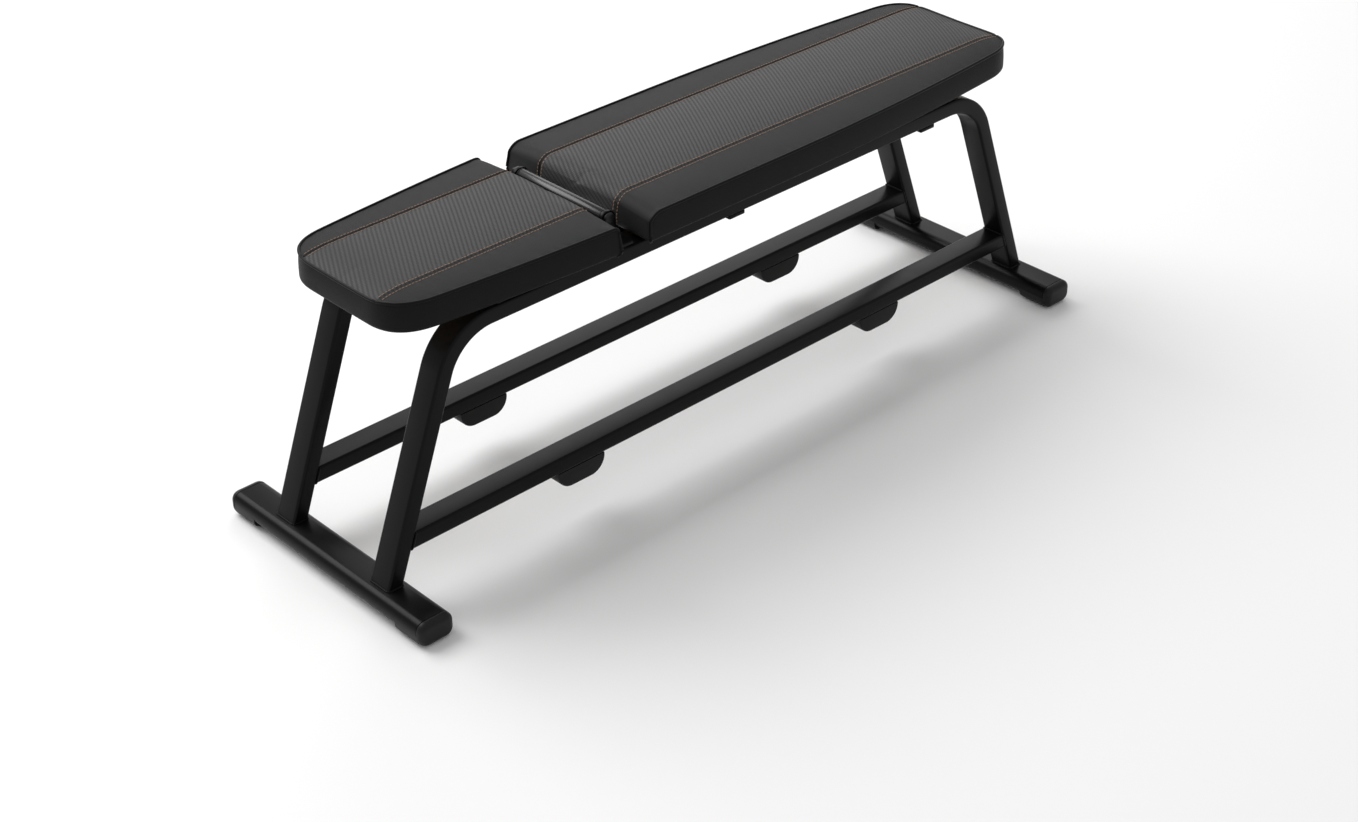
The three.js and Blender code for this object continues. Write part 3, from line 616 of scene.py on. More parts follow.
for side in SIDES:
    for end, ring in zip(ENDS, leg_rings[side]):
        weld_bead(f"weld_leg_{end}_{side}", ring, 1.5 * MM)
    for end, ring in zip(ENDS, rail_rings[side]):
        weld_bead(f"weld_rail_{end}_{side}", ring, 1.4 * MM)
print("weld beads made: 8")

# %% [markdown]
# ## Blocks under the rack rails
# Four rounded blocks hang under the low rails. Each is a plain outline with two large lower
# corners, lofted through the rail's width with its edges eased.

# %% Rail blocks
def rail_block(end, side):
    """Rings across the rail's width; the first and last shrink along a quarter circle."""
    low, high = node_box(f"rail_block_{end}_{side}")
    size = high - low
    centre = (low + high) / 2
    ease = 2 * MM
    turns = np.linspace(0, math.pi / 2, 5)
    insets = ease * (1 - np.sin(turns))
    depth = ease * (1 - np.cos(turns))
    stations = list(zip(low[1] + depth, insets)) + list(zip(high[1] - depth[::-1], insets[::-1]))
    rings = []
    for y, inset in stations:
        corners = (BLOCK_CORNER - inset, 1.5 * MM, 13)
        section = rounded_rectangle(size[0] - 2 * inset, size[2] - inset, *corners)
        z = section[:, 1] + centre[2] + inset / 2
        rings.append(np.stack([section[:, 0] + centre[0], np.full(len(z), y), z], axis=1))
    piece = loft(f"rail_block_moulding_{end}_{side}", rings, RUBBER)
    return settle(piece, "frame", f"rail_block_{end}_{side}")


for end in ENDS:
    for side in SIDES:
        rail_block(end, side)
print("rail blocks made: 4")

# %% [markdown]
# ## Plates, bolts and the folding prop
# These parts are cut plate, turned rod and bought fasteners. Their CAD solids already have the
# right outline, so each is copied, its triangles are merged into whole faces, and its edges get
# the small break that a deburred or rolled edge has.

# %% Hardware
HARDWARE = {
    "cross_strap": (COAT, "frame_steel", 0.9 * MM),
    "seat_strap": (COAT, "frame_steel", 0.9 * MM),
    "hinge_bracket": (COAT, "frame_steel", 0.6 * MM),
    "hinge_arm": (COAT, "frame_steel", 0.6 * MM),
    "back_rail_cap": (PLASTIC, "cap_plastic", 0.6 * MM),
    "back_rail": (COAT, "frame_steel", 0.3 * MM),
    "back_cross_plate": (COAT, "frame_steel", 0.5 * MM),
    "prop_arm": (COAT, "frame_steel", 0.7 * MM),
    "ladder_plate": (COAT, "frame_steel", 0.5 * MM),
    "rest_bumper": (RUBBER, "block_rubber", 0.8 * MM),
    "hinge_bushing": (PLASTIC, "cap_plastic", 0.3 * MM),
    "prop_bar_sleeve": (PLASTIC, "cap_plastic", 0.4 * MM),
    "seat_board": (PLYWOOD, "plywood", 0.5 * MM),
    "back_board": (PLYWOOD, "plywood", 0.5 * MM),
    "seat_bolt": (ZINC, "bare_steel", 0.4 * MM),
    "back_bolt": (ZINC, "bare_steel", 0.4 * MM),
    "hinge_bolt": (DARK_STEEL, "bare_steel", 0.5 * MM),
    "hinge_nut": (DARK_STEEL, "bare_steel", 0.4 * MM),
    "hinge_sleeve": (GLOSS, "hinge_steel", 0.4 * MM),
    "prop_crossbar": (ZINC, "bare_steel", 0.4 * MM),
    "prop_pivot": (ZINC, "bare_steel", 0.4 * MM),
}


def body_of_node(name):
    """The name of the body that a CAD node belongs to."""
    bodies = frame["record"]["behaviour"]["bodies"]
    return next(body for body, members in bodies.items() if name in members)


made = 0
for cad_name in sorted(frame["nodes"]):
    start = next((key for key in HARDWARE if cad_name.startswith(key)), None)
    if start is None:
        continue
    finish, slot_name, edge = HARDWARE[start]
    piece = merged_copy(cad_name, f"{cad_name}_finished", finish, edge)
    settle(piece, body_of_node(cad_name), cad_name)
    made += 1
print("hardware pieces made:", made)

# %% [markdown]
# ## The pads' shape
# A bench pad is a plywood board with foam on it and a sewn cover pulled over both. The cover has a
# top panel in three strips, joined by two lengthwise seams, and a band of boxing round the sides.
# At the end by the gap the top panel has no boxing: it rolls over the edge and runs down.
# A box with a bevel can't give that, so the cover is worked out as a surface: columns of points run
# along the pad, the two seams are columns, and rows near the nose bend to follow the round corners.

# %% Outline and top surface
SEAM_Y = 77.5 * MM
PADS = {
    "seat": {"ease": 0.35, "corner": 65 * MM, "tip": 124 * MM, "straight": 0.0, "roll": 9 * MM},
    "back": {"ease": 1.0, "corner": 63 * MM, "tip": 123.5 * MM, "straight": 249 * MM, "roll": 22 * MM},
}
PAD_BODY = {"seat": "frame", "back": "backrest"}
EDGE_SHY = 2.5 * MM  # the sewn top edge lies this far inside the boxing's fullest line
SEAM_DROP = 10 * MM  # from the pad's highest line down to the seam at its edge
CURVE_STEPS = 60


def bezier(start, pull, stop):
    """A curve with one pull point: (1-t)^2 start + 2 t (1-t) pull + t^2 stop."""
    t = np.linspace(0, 1, CURVE_STEPS)[:, None]
    return (1 - t) ** 2 * start + 2 * t * (1 - t) * pull + t * t * stop


def half_outline(name, inset):
    """One side of a pad from its blunt end to the middle of the nose, as (n, 2) points, and the
    number of the point where the side hands over to the nose, half way round the corner."""
    pad = PADS[name]
    low, high = node_box(f"{name}_pad")
    way = 1 if name == "back" else -1
    blunt = low[0] if way > 0 else high[0]
    nose = (high[0] if way > 0 else low[0]) - way * inset
    corner = pad["corner"] - inset
    tip = pad["tip"] - inset
    half_width = high[1] - inset
    taper_start = blunt + way * pad["straight"]
    taper_end = nose - way * corner
    bend = half_width - (1 - pad["ease"]) * (half_width - tip) / 2
    slope = (bend - tip) / abs(taper_end - taper_start) * 2
    begin = np.array([blunt + way * inset, half_width])
    run = np.array([taper_start, half_width]) - begin
    straight = begin + run * np.linspace(0, 1, CURVE_STEPS)[:, None]
    middle = np.array([(taper_start + taper_end) / 2, bend])
    taper = bezier(straight[-1], middle, np.array([taper_end, tip]))
    round_nose = bezier(taper[-1], np.array([nose, tip - slope * corner]), np.array([nose, tip - corner]))
    points = np.concatenate([straight, taper[1:], round_nose[1:], [[nose, 0]]])
    keep = np.concatenate([[True], np.linalg.norm(np.diff(points, axis=0), axis=1) > 1e-7])
    hand_over = int(keep[: len(points) - 1 - CURVE_STEPS // 2].sum()) - 1
    return points[keep], hand_over


def along_curve(points, share):
    """Points at given shares of a polyline's length."""
    walked = np.concatenate([[0], np.cumsum(np.linalg.norm(np.diff(points, axis=0), axis=1))])
    at = np.clip(share, 0, 1) * walked[-1]
    return np.stack([np.interp(at, walked, points[:, k]) for k in range(points.shape[1])], axis=-1)


def plan_grid(name, shares, columns, inset):
    """The pad's plan as an array (rows, columns, 2). Between the seams a column keeps its y, and
    runs from the blunt end to the nose. Outside a seam, the patch blends its four edges:
    (1-r) seam + r side + (1-s) blunt + s nose, less the bilinear blend of the four corners."""
    outline, hand_over = half_outline(name, inset)
    side_curve = outline[: hand_over + 1]
    nose_curve = outline[hand_over:][::-1]
    blunt = outline[0, 0]
    width = outline[0, 1]
    plan = np.zeros((len(shares), len(columns), 2))
    y = np.abs(columns)
    end_x = np.interp(np.minimum(y, SEAM_Y), nose_curve[:, 1], nose_curve[:, 0])
    plan[..., 0] = blunt + shares[:, None] * (end_x - blunt)[None]
    plan[..., 1] = y[None]
    outer = y > SEAM_Y
    r = ((y[outer] - SEAM_Y) / (width - SEAM_Y))[None, :, None]
    s = shares[:, None, None]
    seam_end = np.array([np.interp(SEAM_Y, nose_curve[:, 1], nose_curve[:, 0]), SEAM_Y])
    seam_start = np.array([blunt, SEAM_Y])
    seam = seam_start + (seam_end - seam_start) * s
    side = along_curve(side_curve, shares)[:, None]
    blunt_edge = seam_start + (outline[0] - seam_start) * r
    corner_y = outline[hand_over, 1]
    nose_y = SEAM_Y + (corner_y - SEAM_Y) * r[..., 0]
    nose_edge = np.stack([np.interp(nose_y, nose_curve[:, 1], nose_curve[:, 0]), nose_y], axis=-1)
    first = (1 - r) * seam_start + r * outline[0]
    last = (1 - r) * seam_end + r * outline[hand_over]
    corners = (1 - s) * first + s * last
    plan[:, outer] = (1 - r) * seam + r * side + (1 - s) * blunt_edge + s * nose_edge - corners
    plan[..., 1] *= np.sign(columns)[None]
    return plan


def quarter_drop(distance, radius):
    """How far a rolled edge has dropped at a distance from the end: r - sqrt(r^2 - (r - d)^2)."""
    inner = np.clip(radius - distance, 0, radius)
    return radius - np.sqrt(radius**2 - inner**2)


def top_height(name, plan, columns):
    """The height of the top surface above the floor. It crowns by SEAM_DROP from edge to middle as
    1 - |y / half width|^2.2, eases down to the seam round the nose, and rolls over the blunt end."""
    pad = PADS[name]
    low, high = node_box(f"{name}_pad")
    way = 1 if name == "back" else -1
    blunt = low[0] if way > 0 else high[0]
    nose = high[0] if way > 0 else low[0]
    width = np.abs(columns).max()
    crown = 1 - np.abs(columns / width)[None] ** 2.2
    from_nose = np.abs(nose - plan[..., 0])
    ease = 1 - np.clip(1 - from_nose / (70 * MM), 0, 1) ** 3
    height = high[2] - SEAM_DROP + SEAM_DROP * crown * ease
    return height - quarter_drop(np.abs(plan[..., 0] - blunt), pad["roll"])


print("pad outlines ready:", [len(half_outline(name, 0)[0]) for name in PADS])

# %% [markdown]
# ## The sides, the underside and the whole cushion
# The boxing starts at the sewn edge, swells to the pad's full outline, rounds under the pad and is
# pulled in over the board's edge. All of that is a stack of rings round the pad. Every ring has the
# same number of points as the top surface's border, so the two join without a gap.

# %% Cushion surface
ROLL_UNDER = 7 * MM
TUCK = 11.6 * MM
POCKET = 12.3 * MM
SWELL_ROOM = 3.5 * MM  # the foam starts this much low, and the simulation fills it


def lane_to_y(lanes, width):
    """Lanes 0..1 lie between the seams and 1..2 from a seam to the pad's edge, on either side."""
    size = np.abs(lanes)
    y = np.where(size <= 1, size * SEAM_Y, SEAM_Y + (size - 1) * (width - SEAM_Y))
    return np.sign(lanes) * y


def border(grid):
    """The rim of a (rows, columns, ...) grid: blunt end, right side, nose, left side."""
    return np.concatenate([grid[0, :-1], grid[:-1, -1], grid[-1, :0:-1], grid[:0:-1, 0]])


def pad_columns(name, lanes, inset):
    """The y of each column on a pad whose outline is moved in by an inset."""
    return lane_to_y(lanes, half_outline(name, inset)[0][0, 1])


def cushion(name, shares, lanes, wall_steps=8):
    """The top grid (rows, columns, 3) and the wall rings (rings, border points, 3). The wall goes
    from the seam ring s to the full ring f as s + (f - s) (1 - (1 - t)^2.5), where at the blunt
    end the share is t^2 (3 - 2 t), then under the edge as a quarter circle."""
    low, _ = node_box(f"{name}_pad")
    columns = pad_columns(name, lanes, EDGE_SHY)
    plan = plan_grid(name, shares, columns, EDGE_SHY)
    top = np.concatenate([plan, top_height(name, plan, columns)[..., None]], axis=-1)
    seam = border(top)
    full = border(plan_grid(name, shares, pad_columns(name, lanes, 0), 0))
    tucked = border(plan_grid(name, shares, pad_columns(name, lanes, TUCK), TUCK))
    blunt_end = np.arange(len(seam)) < len(lanes)
    blunt_end[-1] = True
    t = np.linspace(0, 1, wall_steps)[1:, None]
    share = np.where(blunt_end[None], t * t * (3 - 2 * t), 1 - (1 - t) ** 2.5)[..., None]
    flank = seam[None, :, :2] + (full - seam[:, :2])[None] * share
    flank_z = seam[None, :, 2] + (low[2] + ROLL_UNDER - seam[None, :, 2]) * t
    turn = np.linspace(0, math.pi / 2, 5)[1:, None]
    inward = ROLL_UNDER * (1 - np.cos(turn)) / TUCK
    under = full[None] + (tucked - full)[None] * inward[..., None]
    under_z = low[2] + ROLL_UNDER * (1 - np.sin(turn)) + np.zeros(len(seam))
    tuck_z = np.array([low[2], low[2] + POCKET])[:, None] + np.zeros(len(seam))
    xy = np.concatenate([flank, under, np.stack([tucked, tucked])])
    z = np.concatenate([flank_z, under_z, tuck_z])
    return top, np.concatenate([xy, z[..., None]], axis=-1)


def cushion_faces(rows, columns, rings):
    """Faces of a cushion whose vertices are the top grid and then the rings. The first wall row
    joins the top grid's own border, and the last ring closes the pocket over the board."""
    top = np.arange(rows * columns).reshape(rows, columns)
    rim = border(top)
    walls = rows * columns + np.arange(rings * len(rim)).reshape(rings, len(rim))
    index = np.concatenate([rim[None], walls])
    index = np.concatenate([index, index[:, :1]], axis=1)
    return grid_faces(top), grid_faces(index), walls[-1]


def pad_rows(name, spacing):
    """Shares along the pad: close together round the roll of the blunt end, then even."""
    low, high = node_box(f"{name}_pad")
    length = high[0] - low[0]
    roll = PADS[name]["roll"]
    turns = np.linspace(0, math.pi / 2, 4 + int(roll / (5 * MM)))
    rolled = roll * (1 - np.cos(turns)) / length
    count = int((1 - rolled[-1]) * length / spacing)
    return np.concatenate([rolled, np.linspace(rolled[-1], 1, count)[1:]])


def pad_lanes():
    """Lanes across the pad, with closer columns beside the two seams."""
    inner = np.concatenate([np.linspace(0, 0.9, 13), [0.93, 0.965, 1.0]])
    outer = np.concatenate([[1.04, 1.09], np.linspace(1.15, 2, 11)])
    half = np.concatenate([inner, outer])
    return np.concatenate([-half[:0:-1], half])


print("cushion surfaces ready, lanes:", len(pad_lanes()))

# %% [markdown]
# ## Filling the cushions
# Foam presses the cover outwards everywhere but at its seams and where it is stapled to the board.
# Blender's cloth solver does just that: a pressure inside, gravity off, and a pin weight on the
# vertices that are held. It runs on a coarse grid, which keeps it fast, and its result is then
# refined by a smooth curve through the rows and columns.

# %% Cloth simulation
PRESSURE = 4.0
LAST_FRAME = 20


def pin_weights(rows, columns, rings, lanes):
    """1 on the held underside, 0.75 on the sewn border, 0.6 on the two seams, and 0 elsewhere."""
    top = np.zeros((rows, columns))
    top[:, np.isclose(np.abs(lanes), 1)] = 0.6
    top[0] = np.maximum(top[0], 0.15)
    top[-1] = 0.75
    top[:, [0, -1]] = 0.75
    count = len(border(top))
    walls = np.zeros((rings, count))
    walls[-7:] = 1.0
    return np.concatenate([top.ravel(), walls.ravel()])


def inflate(top, walls, lanes, cap):
    """Runs the cloth solver on a closed cushion and returns the swollen grids. No point moves
    more than the cap."""
    rows, columns = top.shape[:2]
    rings = len(walls)
    faces_top, faces_wall, pocket = cushion_faces(rows, columns, rings)
    rest = np.concatenate([top.reshape(-1, 3), walls.reshape(-1, 3)])
    faces = faces_top.tolist() + faces_wall.tolist() + [pocket.tolist()]
    piece = fix_normals(make_mesh("cushion to inflate", rest, faces, [STRIP]))
    held = piece.vertex_groups.new(name="held")
    weights = pin_weights(rows, columns, rings, lanes)
    for level in np.unique(weights[weights > 0]):
        held.add(np.flatnonzero(weights == level).tolist(), float(level), "REPLACE")
    cloth = piece.modifiers.new("swell", "CLOTH")
    settings = cloth.settings
    settings.quality = 6
    settings.mass = 0.25
    settings.tension_stiffness = settings.compression_stiffness = 18
    settings.shear_stiffness = 8
    settings.bending_stiffness = 1.5
    settings.use_pressure = True
    settings.uniform_pressure_force = PRESSURE
    settings.effector_weights.gravity = 0
    settings.vertex_group_mass = "held"
    cloth.collision_settings.use_collision = False
    cloth.point_cache.frame_start = 1
    cloth.point_cache.frame_end = LAST_FRAME
    for number in range(1, LAST_FRAME + 1):
        bpy.context.scene.frame_set(number)
    result = piece.evaluated_get(bpy.context.evaluated_depsgraph_get())
    moved = np.empty(len(rest) * 3)
    result.data.vertices.foreach_get("co", moved)
    change = moved.reshape(-1, 3) - rest
    distance = np.linalg.norm(change, axis=1, keepdims=True)
    change *= cap * np.tanh(distance / cap) / np.maximum(distance, 1e-9)
    change[weights == 1] = 0
    mesh = piece.data
    bpy.data.objects.remove(piece)
    bpy.data.meshes.remove(mesh)
    bpy.context.scene.frame_set(1)
    print("  swelled by up to", round(float(np.linalg.norm(change, axis=1).max()) * 1000, 1), "mm")
    swollen = rest + change
    return swollen[: rows * columns].reshape(top.shape), swollen[rows * columns:].reshape(walls.shape)


def refine_weights(count, factor, closed=False):
    """The matrix that puts factor - 1 new points between neighbours, by a cubic through the two
    points on either side (Catmull-Rom), and by a straight extension past an open end."""
    spans = count if closed else count - 1
    at = np.arange(spans * factor + (0 if closed else 1)) / factor
    whole = np.minimum(at.astype(int), spans - 1)
    t = at - whole
    curves = [-0.5 * t + t**2 - 0.5 * t**3, 1 - 2.5 * t**2 + 1.5 * t**3,
              0.5 * t + 2 * t**2 - 1.5 * t**3, -0.5 * t**2 + 0.5 * t**3]
    weights = np.zeros((len(at), count))
    for step, curve in zip((-1, 0, 1, 2), curves):
        column = whole + step
        if closed:
            np.add.at(weights, (np.arange(len(at)), column % count), curve)
            continue
        inside = np.clip(column, 0, count - 1)
        np.add.at(weights, (np.arange(len(at)), inside), curve)
        past = column != inside
        inner = np.where(column < 0, 1, count - 2)
        np.add.at(weights, (np.flatnonzero(past), inside[past]), curve[past])
        np.add.at(weights, (np.flatnonzero(past), inner[past]), -curve[past])
    return weights


def refine(grid, axis, factor, closed=False):
    """Applies refine_weights along one axis of a grid of points."""
    weights = refine_weights(grid.shape[axis], factor, closed)
    return np.moveaxis(np.tensordot(weights, grid, axes=(1, axis)), 0, axis)


print("cloth simulation ready; skipped:", bool(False))

# %% [markdown]
# ## Sewing the covers
# The finished cushion gets what the foam can't give: a narrow valley along each seam, and small
# puckers where the thread gathers the vinyl. Both are short waves added along the surface's
# normals. The cloth's map is filled from lengths measured on the surface, so grain and twill keep
# their real size everywhere.

# %% Cover details and mesh
ROW_FACTOR, LANE_FACTOR = 2, 3


def grid_normals(grid):
    """Unit normals of a (rows, columns, 3) grid, from the cross product of its two tangents."""
    along = np.gradient(grid, axis=0)
    across = np.gradient(grid, axis=1)
    normal = np.cross(along, across)
    normal /= np.maximum(np.linalg.norm(normal, axis=-1, keepdims=True), 1e-12)
    return normal * np.sign(normal[len(normal) // 2, grid.shape[1] // 2, 2])


def walked_length(points, axis):
    """Distance walked from the first point along an axis."""
    steps = np.linalg.norm(np.diff(points, axis=axis), axis=-1)
    first = np.zeros_like(np.take(steps, [0], axis=axis))
    return np.cumsum(np.concatenate([first, steps], axis=axis), axis=axis)


def sew(top, walls):
    """Seam valleys of depth 1.3 mm exp(-(d / 1.7 mm)^2) at a distance d from a seam. Puckers wave
    about each 17 mm beside the seams and 23 mm along the edge, and fade over 9 and 8 mm."""
    normal = grid_normals(top)
    away = np.abs(np.abs(top[..., 1]) - SEAM_Y)
    walk = walked_length(top, 0)
    valley = 1.3 * MM * np.exp(-((away / (1.7 * MM)) ** 2))
    wave = np.sin(walk * 2 * math.pi / (17 * MM) + 1.7 * np.sin(walk * 2 * math.pi / (131 * MM)))
    pucker = 0.30 * MM * wave * np.exp(-away / (9 * MM)) * (1 - np.exp(-((away / (3 * MM)) ** 2)))
    edge = np.linalg.norm(top - top[:, [0]], axis=-1)
    edge = np.minimum(edge, np.linalg.norm(top - top[:, [-1]], axis=-1))
    edge = np.minimum(edge, np.linalg.norm(top - top[[-1]], axis=-1))
    gather = np.sin(walk * 2 * math.pi / (23 * MM) + 2.3 * np.sin(walk * 2 * math.pi / (97 * MM)))
    pucker += 0.35 * MM * gather * np.exp(-edge / (8 * MM)) * (1 - np.exp(-((edge / (3 * MM)) ** 2)))
    top = top + (pucker - valley)[..., None] * normal
    walls = walls.copy()
    columns = top.shape[1]
    face = walls[:, :columns]
    away = np.abs(np.abs(face[..., 1]) - SEAM_Y)
    toward = np.sign(face[0, columns // 2, 0] - top[-1, columns // 2, 0])
    face[..., 0] -= toward * 1.3 * MM * np.exp(-((away / (1.7 * MM)) ** 2))
    return top, walls


def cover_map(top, walls, way):
    """The cloth's map in metres for the top grid and for the wall. The top's u is the walked
    length from the blunt end, counted along +X, so the twill leans one way on both pads. The
    blunt face continues it downwards, and on the boxing u runs
    round the pad while v is the walked height."""
    columns = top.shape[1]
    middle = columns // 2
    u = np.repeat(walked_length(top[:, [middle]], 0), columns, axis=1)
    top_map = np.stack([way * u, top[..., 1]], axis=-1)
    stack = np.concatenate([border(top)[None], walls])
    stack = np.concatenate([stack, stack[:, :1]], axis=1)
    down = walked_length(stack, 0)
    around = np.repeat(walked_length(stack[[0]], 1), len(stack), axis=0)
    wall_map = np.stack([around, down], axis=-1)
    face_map = np.stack([-way * down[:, :columns], stack[:, :columns, 1]], axis=-1)
    return top_map, wall_map, face_map


def cover_mesh(name, top, walls):
    """The cover as one closed mesh with three vinyls and its map."""
    rows, columns = top.shape[:2]
    faces_top, faces_wall, pocket = cushion_faces(rows, columns, len(walls))
    points = np.concatenate([top.reshape(-1, 3), walls.reshape(-1, 3)])
    top_map, wall_map, face_map = cover_map(top, walls, np.sign(top[-1, 0, 0] - top[0, 0, 0]))
    spans = len(border(top))
    on_blunt = (np.arange(len(faces_wall)) % spans) < columns - 1
    corner_top = top_map.reshape(-1, 2)[faces_top]
    index = np.arange(wall_map.shape[0] * wall_map.shape[1]).reshape(wall_map.shape[:2])
    corners = grid_faces(index)
    corner_wall = wall_map.reshape(-1, 2)[corners]
    face_index = np.minimum(corners % (spans + 1), columns - 1) + columns * (corners // (spans + 1))
    corner_wall[on_blunt] = face_map.reshape(-1, 2)[face_index[on_blunt]]
    y = np.abs(points[:, 1])
    centre_top = y[faces_top].mean(axis=1) < SEAM_Y
    centre_wall = (y[faces_wall].mean(axis=1) < SEAM_Y) & on_blunt
    finish_top = np.where(centre_top, 0, 1)
    finish_wall = np.where(centre_wall, 0, np.where(on_blunt, 1, 2))
    finish = np.concatenate([finish_top, finish_wall, [2]])
    pocket_map = points[pocket][:, :2]
    uvs = np.concatenate([corner_top.reshape(-1, 2), corner_wall.reshape(-1, 2), pocket_map])
    faces = faces_top.tolist() + faces_wall.tolist() + [pocket.tolist()]
    piece = make_mesh(f"{name}_cushion", points, faces, [TWILL, STRIP, BOXING], finish, uvs)
    fix_normals(piece)
    settle(piece, PAD_BODY[name], f"{name}_pad")
    return piece


covers = {}
for name in PADS:
    lanes = pad_lanes()
    shares = pad_rows(name, 5.6 * MM)
    top, walls = cushion(name, shares, lanes)
    top[..., 2] -= SWELL_ROOM * np.clip(1 - np.abs(lanes) / 2, 0, 1) ** 0.5
    top, walls = inflate(top, walls, lanes, 5 * MM)
    top = refine(refine(top, 0, ROW_FACTOR), 1, LANE_FACTOR)
    columns = len(lanes)
    rows = len(shares)
    ends = [columns - 1, columns + rows - 2, 2 * columns + rows - 3]
    parts = np.split(np.arange(walls.shape[1]), ends)
    looped = np.concatenate([walls, walls[:, :1]], axis=1)
    pieces = []
    for part, factor in zip(parts, (LANE_FACTOR, ROW_FACTOR, LANE_FACTOR, ROW_FACTOR)):
        stretch = looped[:, part[0]: part[-1] + 2]
        pieces.append(refine(stretch, 1, factor)[:, :-1])
    walls = np.concatenate(pieces, axis=1)
    stack = np.concatenate([border(top)[None], walls])
    walls = np.concatenate([refine(stack[:-2], 0, 2)[1:], stack[-2:]])
    top, walls = sew(top, walls)
    cover_mesh(name, top, walls)
    covers[name] = (top, walls)
    highest = round(float(top[..., 2].max()) * 1000, 1)
    print(name, "cushion:", top.shape[:2], "top grid, highest point", highest, "mm")

# %% [markdown]
# ## Piping
# A thin black welt is sewn into the seam between panel and boxing. It follows the pad's edge round
# the nose, and at the end by the gap it turns down the corner. A rope along the cover's own border
# fits the swollen shape, where a separate curve would float off it or sink into it.

# %% Piping
def smooth_normals_along(path, up):
    """Directions at right angles to a path, as near to the wanted ones as that allows."""
    heading = np.gradient(path, axis=0)
    heading /= np.linalg.norm(heading, axis=1, keepdims=True)
    up = up - heading * np.sum(up * heading, axis=1, keepdims=True)
    up /= np.linalg.norm(up, axis=1, keepdims=True)
    return heading, up, np.cross(heading, up)


def rope(name, path, radius, material, sides=10):
    """A round section carried along an open path, closed by a flat face at each end."""
    _, up, side = smooth_normals_along(path, np.tile([0.0, 0.0, 1.0], (len(path), 1)) + 1e-3)
    turns = np.linspace(0, 2 * math.pi, sides, endpoint=False)
    circle = np.cos(turns)[None, :, None] * up[:, None] + np.sin(turns)[None, :, None] * side[:, None]
    return loft(name, path[:, None] + radius * circle, material)


def piping_path(top, walls):
    """Down the left corner's line in reverse, round the side, the nose and the other side, and
    down the right corner's line to the underside."""
    columns = top.shape[1]
    rim = border(top)
    edge = rim[columns - 1:]
    edge = np.concatenate([edge, rim[:1]])
    right = walls[: len(walls) - 4, columns - 1]
    left = walls[: len(walls) - 4, 0]
    return np.concatenate([right[::-1], edge, left])


def evened(path, spacing):
    """The same path with points at an even spacing, after a light smoothing."""
    for _ in range(3):
        path = np.concatenate([path[:1], (path[:-2] + 2 * path[1:-1] + path[2:]) / 4, path[-1:]])
    walked = np.concatenate([[0], np.cumsum(np.linalg.norm(np.diff(path, axis=0), axis=1))])
    at = np.linspace(0, walked[-1], int(walked[-1] / spacing))
    return np.stack([np.interp(at, walked, path[:, k]) for k in range(3)], axis=1)


for name in PADS:
    path = evened(piping_path(*covers[name]), 3 * MM)
    welt = rope(f"{name}_piping", path, 2.2 * MM, PIPING)
    settle(welt, PAD_BODY[name], None)
    print(name, "piping length", round(float(walked_length(path, 0)[-1]), 3), "m")

# %% [markdown]
# ## Top stitching
# The two lengthwise seams are each top-stitched with two rows of copper thread. A stitch is a short
# rounded rod, bedded in the vinyl at its ends. A painted line would stay flat in a raking light, so
# every stitch is a small solid, with few faces because there are hundreds.

# %% Thread
STITCH_PITCH = 5.2 * MM
STITCH_LENGTH = 3.9 * MM
STITCH_RADIUS = 0.55 * MM
ROW_OFFSET = 4 * MM


def seam_line(top, walls, y):
    """The surface line at a given y: down the blunt face reversed, and along the top to the nose."""
    columns = top.shape[1]
    face = walls[: len(walls) - 8, :columns][::-1]
    sheet = np.concatenate([face, top])
    offset = np.abs(sheet[..., 1] - y)
    nearest = np.clip(offset.argmin(axis=1), 1, columns - 2)
    rows = np.arange(len(sheet))
    step = np.where(sheet[rows, nearest, 1] < y, 1, -1)
    first, second = sheet[rows, nearest], sheet[rows, nearest + step]
    share = ((y - first[:, 1]) / (second[:, 1] - first[:, 1]))[:, None]
    return first + (second - first) * share


def stitches(path, outward):
    """Places a capsule at even steps along a path. Its radius is r sqrt(1 - (2 k)^6) at a share k
    of its length from the middle, and it sinks by 0.3 mm at its ends."""
    walked = np.concatenate([[0], np.cumsum(np.linalg.norm(np.diff(path, axis=0), axis=1))])
    at = np.arange(STITCH_PITCH, walked[-1] - STITCH_PITCH, STITCH_PITCH)

    def sample(values, where):
        return np.stack([np.interp(where, walked, values[:, k]) for k in range(3)], axis=-1)

    middle = sample(path, at)
    heading = sample(path, at + STITCH_LENGTH / 2) - sample(path, at - STITCH_LENGTH / 2)
    heading /= np.linalg.norm(heading, axis=1, keepdims=True)
    up = sample(outward, at)
    up -= heading * np.sum(up * heading, axis=1, keepdims=True)
    up /= np.linalg.norm(up, axis=1, keepdims=True)
    side = np.cross(heading, up)
    share = np.array([-0.5, -0.42, -0.22, 0.22, 0.42, 0.5])
    radius = STITCH_RADIUS * np.sqrt(np.maximum(1 - (2 * np.abs(share)) ** 6, 0.04))
    lift = 0.25 * MM - 0.45 * MM * (2 * share) ** 2
    turns = np.linspace(0, 2 * math.pi, 6, endpoint=False)
    ring = np.stack([np.cos(turns), np.sin(turns)], axis=1)
    points = middle[:, None, None] + share[None, :, None, None] * STITCH_LENGTH * heading[:, None, None]
    points = points + lift[None, :, None, None] * up[:, None, None]
    points = points + radius[None, :, None, None] * ring[None, None, :, :1] * up[:, None, None]
    points = points + radius[None, :, None, None] * ring[None, None, :, 1:] * side[:, None, None]
    count = len(at)
    per = len(share) * 6
    base = ring_faces(len(share), 6)
    quads = (base[None] + per * np.arange(count)[:, None, None]).reshape(-1, 4)
    caps = np.stack([np.arange(6)[::-1], per - 6 + np.arange(6)])
    caps = (caps[None] + per * np.arange(count)[:, None, None]).reshape(-1, 6)
    return points.reshape(-1, 3), quads, caps, count


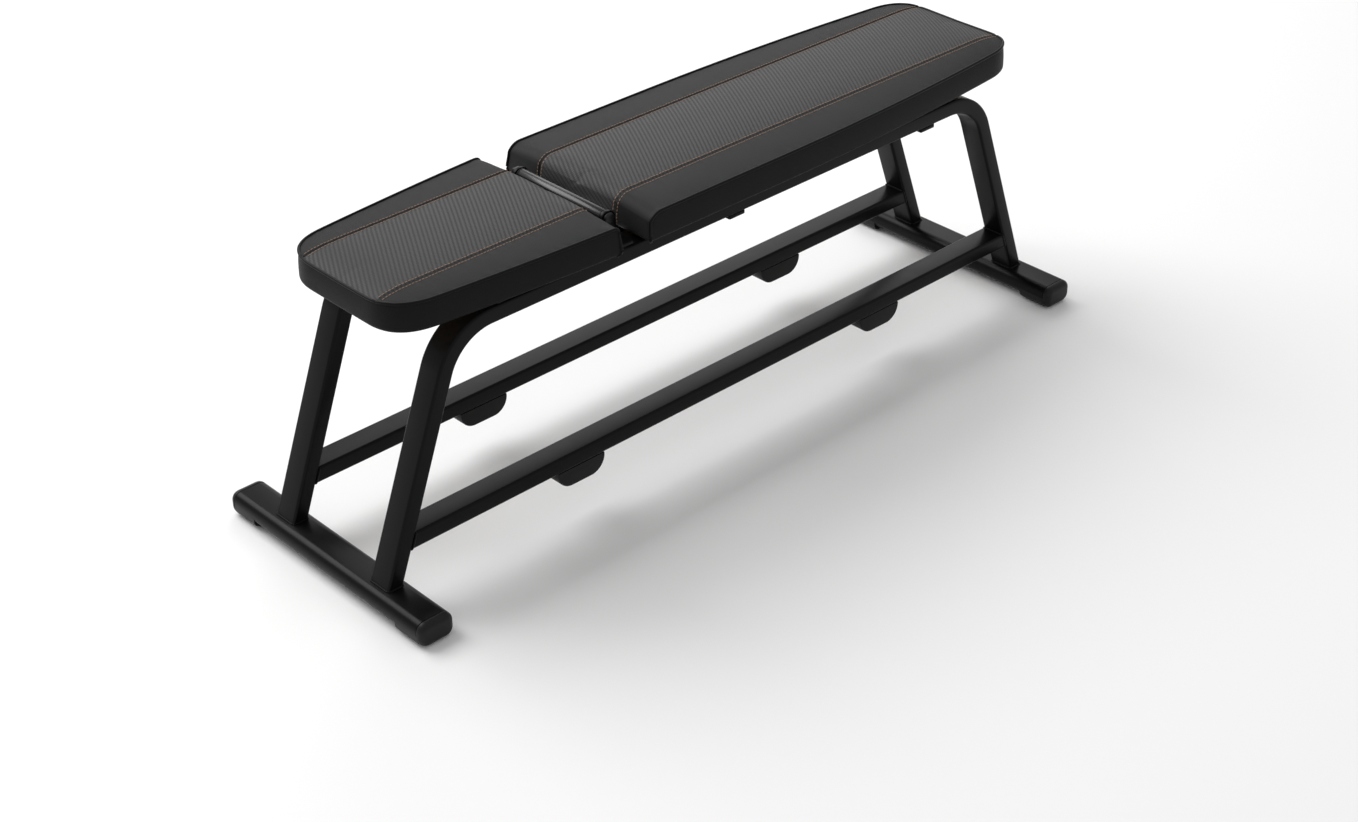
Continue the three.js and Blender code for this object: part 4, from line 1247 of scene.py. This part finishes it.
def stitched_rows(name, body):
    """All four rows of a pad as one piece."""
    top, walls = covers[name]
    points, quads, caps, total = [], [], [], 0
    for seam in (-SEAM_Y, SEAM_Y):
        for offset in (-ROW_OFFSET, ROW_OFFSET):
            path = seam_line(top, walls, seam + offset)
            heading = np.gradient(path, axis=0)
            outward = np.cross(heading, [0, 1, 0])
            outward *= np.sign(outward[len(path) // 2, 2])
            made_points, made_quads, made_caps, count = stitches(path, outward)
            first = sum(len(part) for part in points)
            points.append(made_points)
            quads.append(made_quads + first)
            caps.append(made_caps + first)
            total += count
    faces = np.concatenate(quads).tolist() + np.concatenate(caps).tolist()
    piece = make_mesh(f"{name}_stitching", np.concatenate(points), faces, [THREAD])
    settle(fix_normals(piece), body, None)
    print(name, "stitches:", total)


for name in PADS:
    stitched_rows(name, PAD_BODY[name])

# %% [markdown]
# ## Floor, light and camera
# The bench stands on a plain white floor. A large soft light high above the far side lays a soft
# shadow towards the viewer, and a second one beyond the head end gives the tops of the tubes and
# pads their sheen. A bright even sky fills the rest, because a studio's white walls do the same.

# %% Stage
def pale_floor():
    """A large floor, white enough to stand for a sweep of studio paper."""
    material, _, _ = new_material("studio floor", (0.86, 0.86, 0.86), 0.6)
    half = 12.0
    plan = [(-half, -half), (half, -half), (half, half), (-half, half)]
    points = [(x, y, -0.5 * MM) for x, y in plan]
    floor = make_mesh("studio_floor", points, [[0, 1, 2, 3]], [material])


def soft_light(name, place, target, size, power):
    """A square area light that faces a point."""
    lamp = bpy.data.lights.new(name, "AREA")
    lamp.shape = "SQUARE"
    lamp.size = size
    lamp.energy = power
    lamp.cycles.use_multiple_importance_sampling = True
    thing = bpy.data.objects.new(name, lamp)
    direction = Vector(target) - Vector(place)
    turn = direction.to_track_quat("-Z", "Y").to_matrix().to_4x4()
    thing.matrix_world = Matrix.Translation(place) @ turn
    bpy.context.scene.collection.objects.link(thing)


def white_sky(strength):
    """An even white surrounding."""
    world = bpy.data.worlds.new("studio walls")
    world.use_nodes = True
    background = world.node_tree.nodes["Background"]
    background.inputs["Color"].default_value = (1, 1, 1, 1)
    background.inputs["Strength"].default_value = strength
    bpy.context.scene.world = world


pale_floor()
white_sky(0.62)
soft_light("key light", (-1.15, 3.4, 4.3), (0, 0, 0.3), 3.8, 250)
soft_light("back light", (2.4, 2.6, 2.4), (0, 0, 0.3), 2.4, 32)

camera_data = bpy.data.cameras.new("viewer")
camera_data.lens = 61.38
camera_data.sensor_width = 36
camera = bpy.data.objects.new("viewer", camera_data)
forward = Vector((0.57712, 0.61583, -0.53636)).normalized()
right = Vector((0.72713, -0.68648, -0.00581)).normalized()
up = right.cross(forward)
rotation = Matrix((right, up, -forward)).transposed().to_4x4()
camera.matrix_world = Matrix.Translation((-2.0006, -2.1326, 1.8361)) @ rotation
bpy.context.scene.collection.objects.link(camera)
bpy.context.scene.camera = camera
bpy.context.scene.view_settings.view_transform = "Standard"
print("stage, lights and camera made")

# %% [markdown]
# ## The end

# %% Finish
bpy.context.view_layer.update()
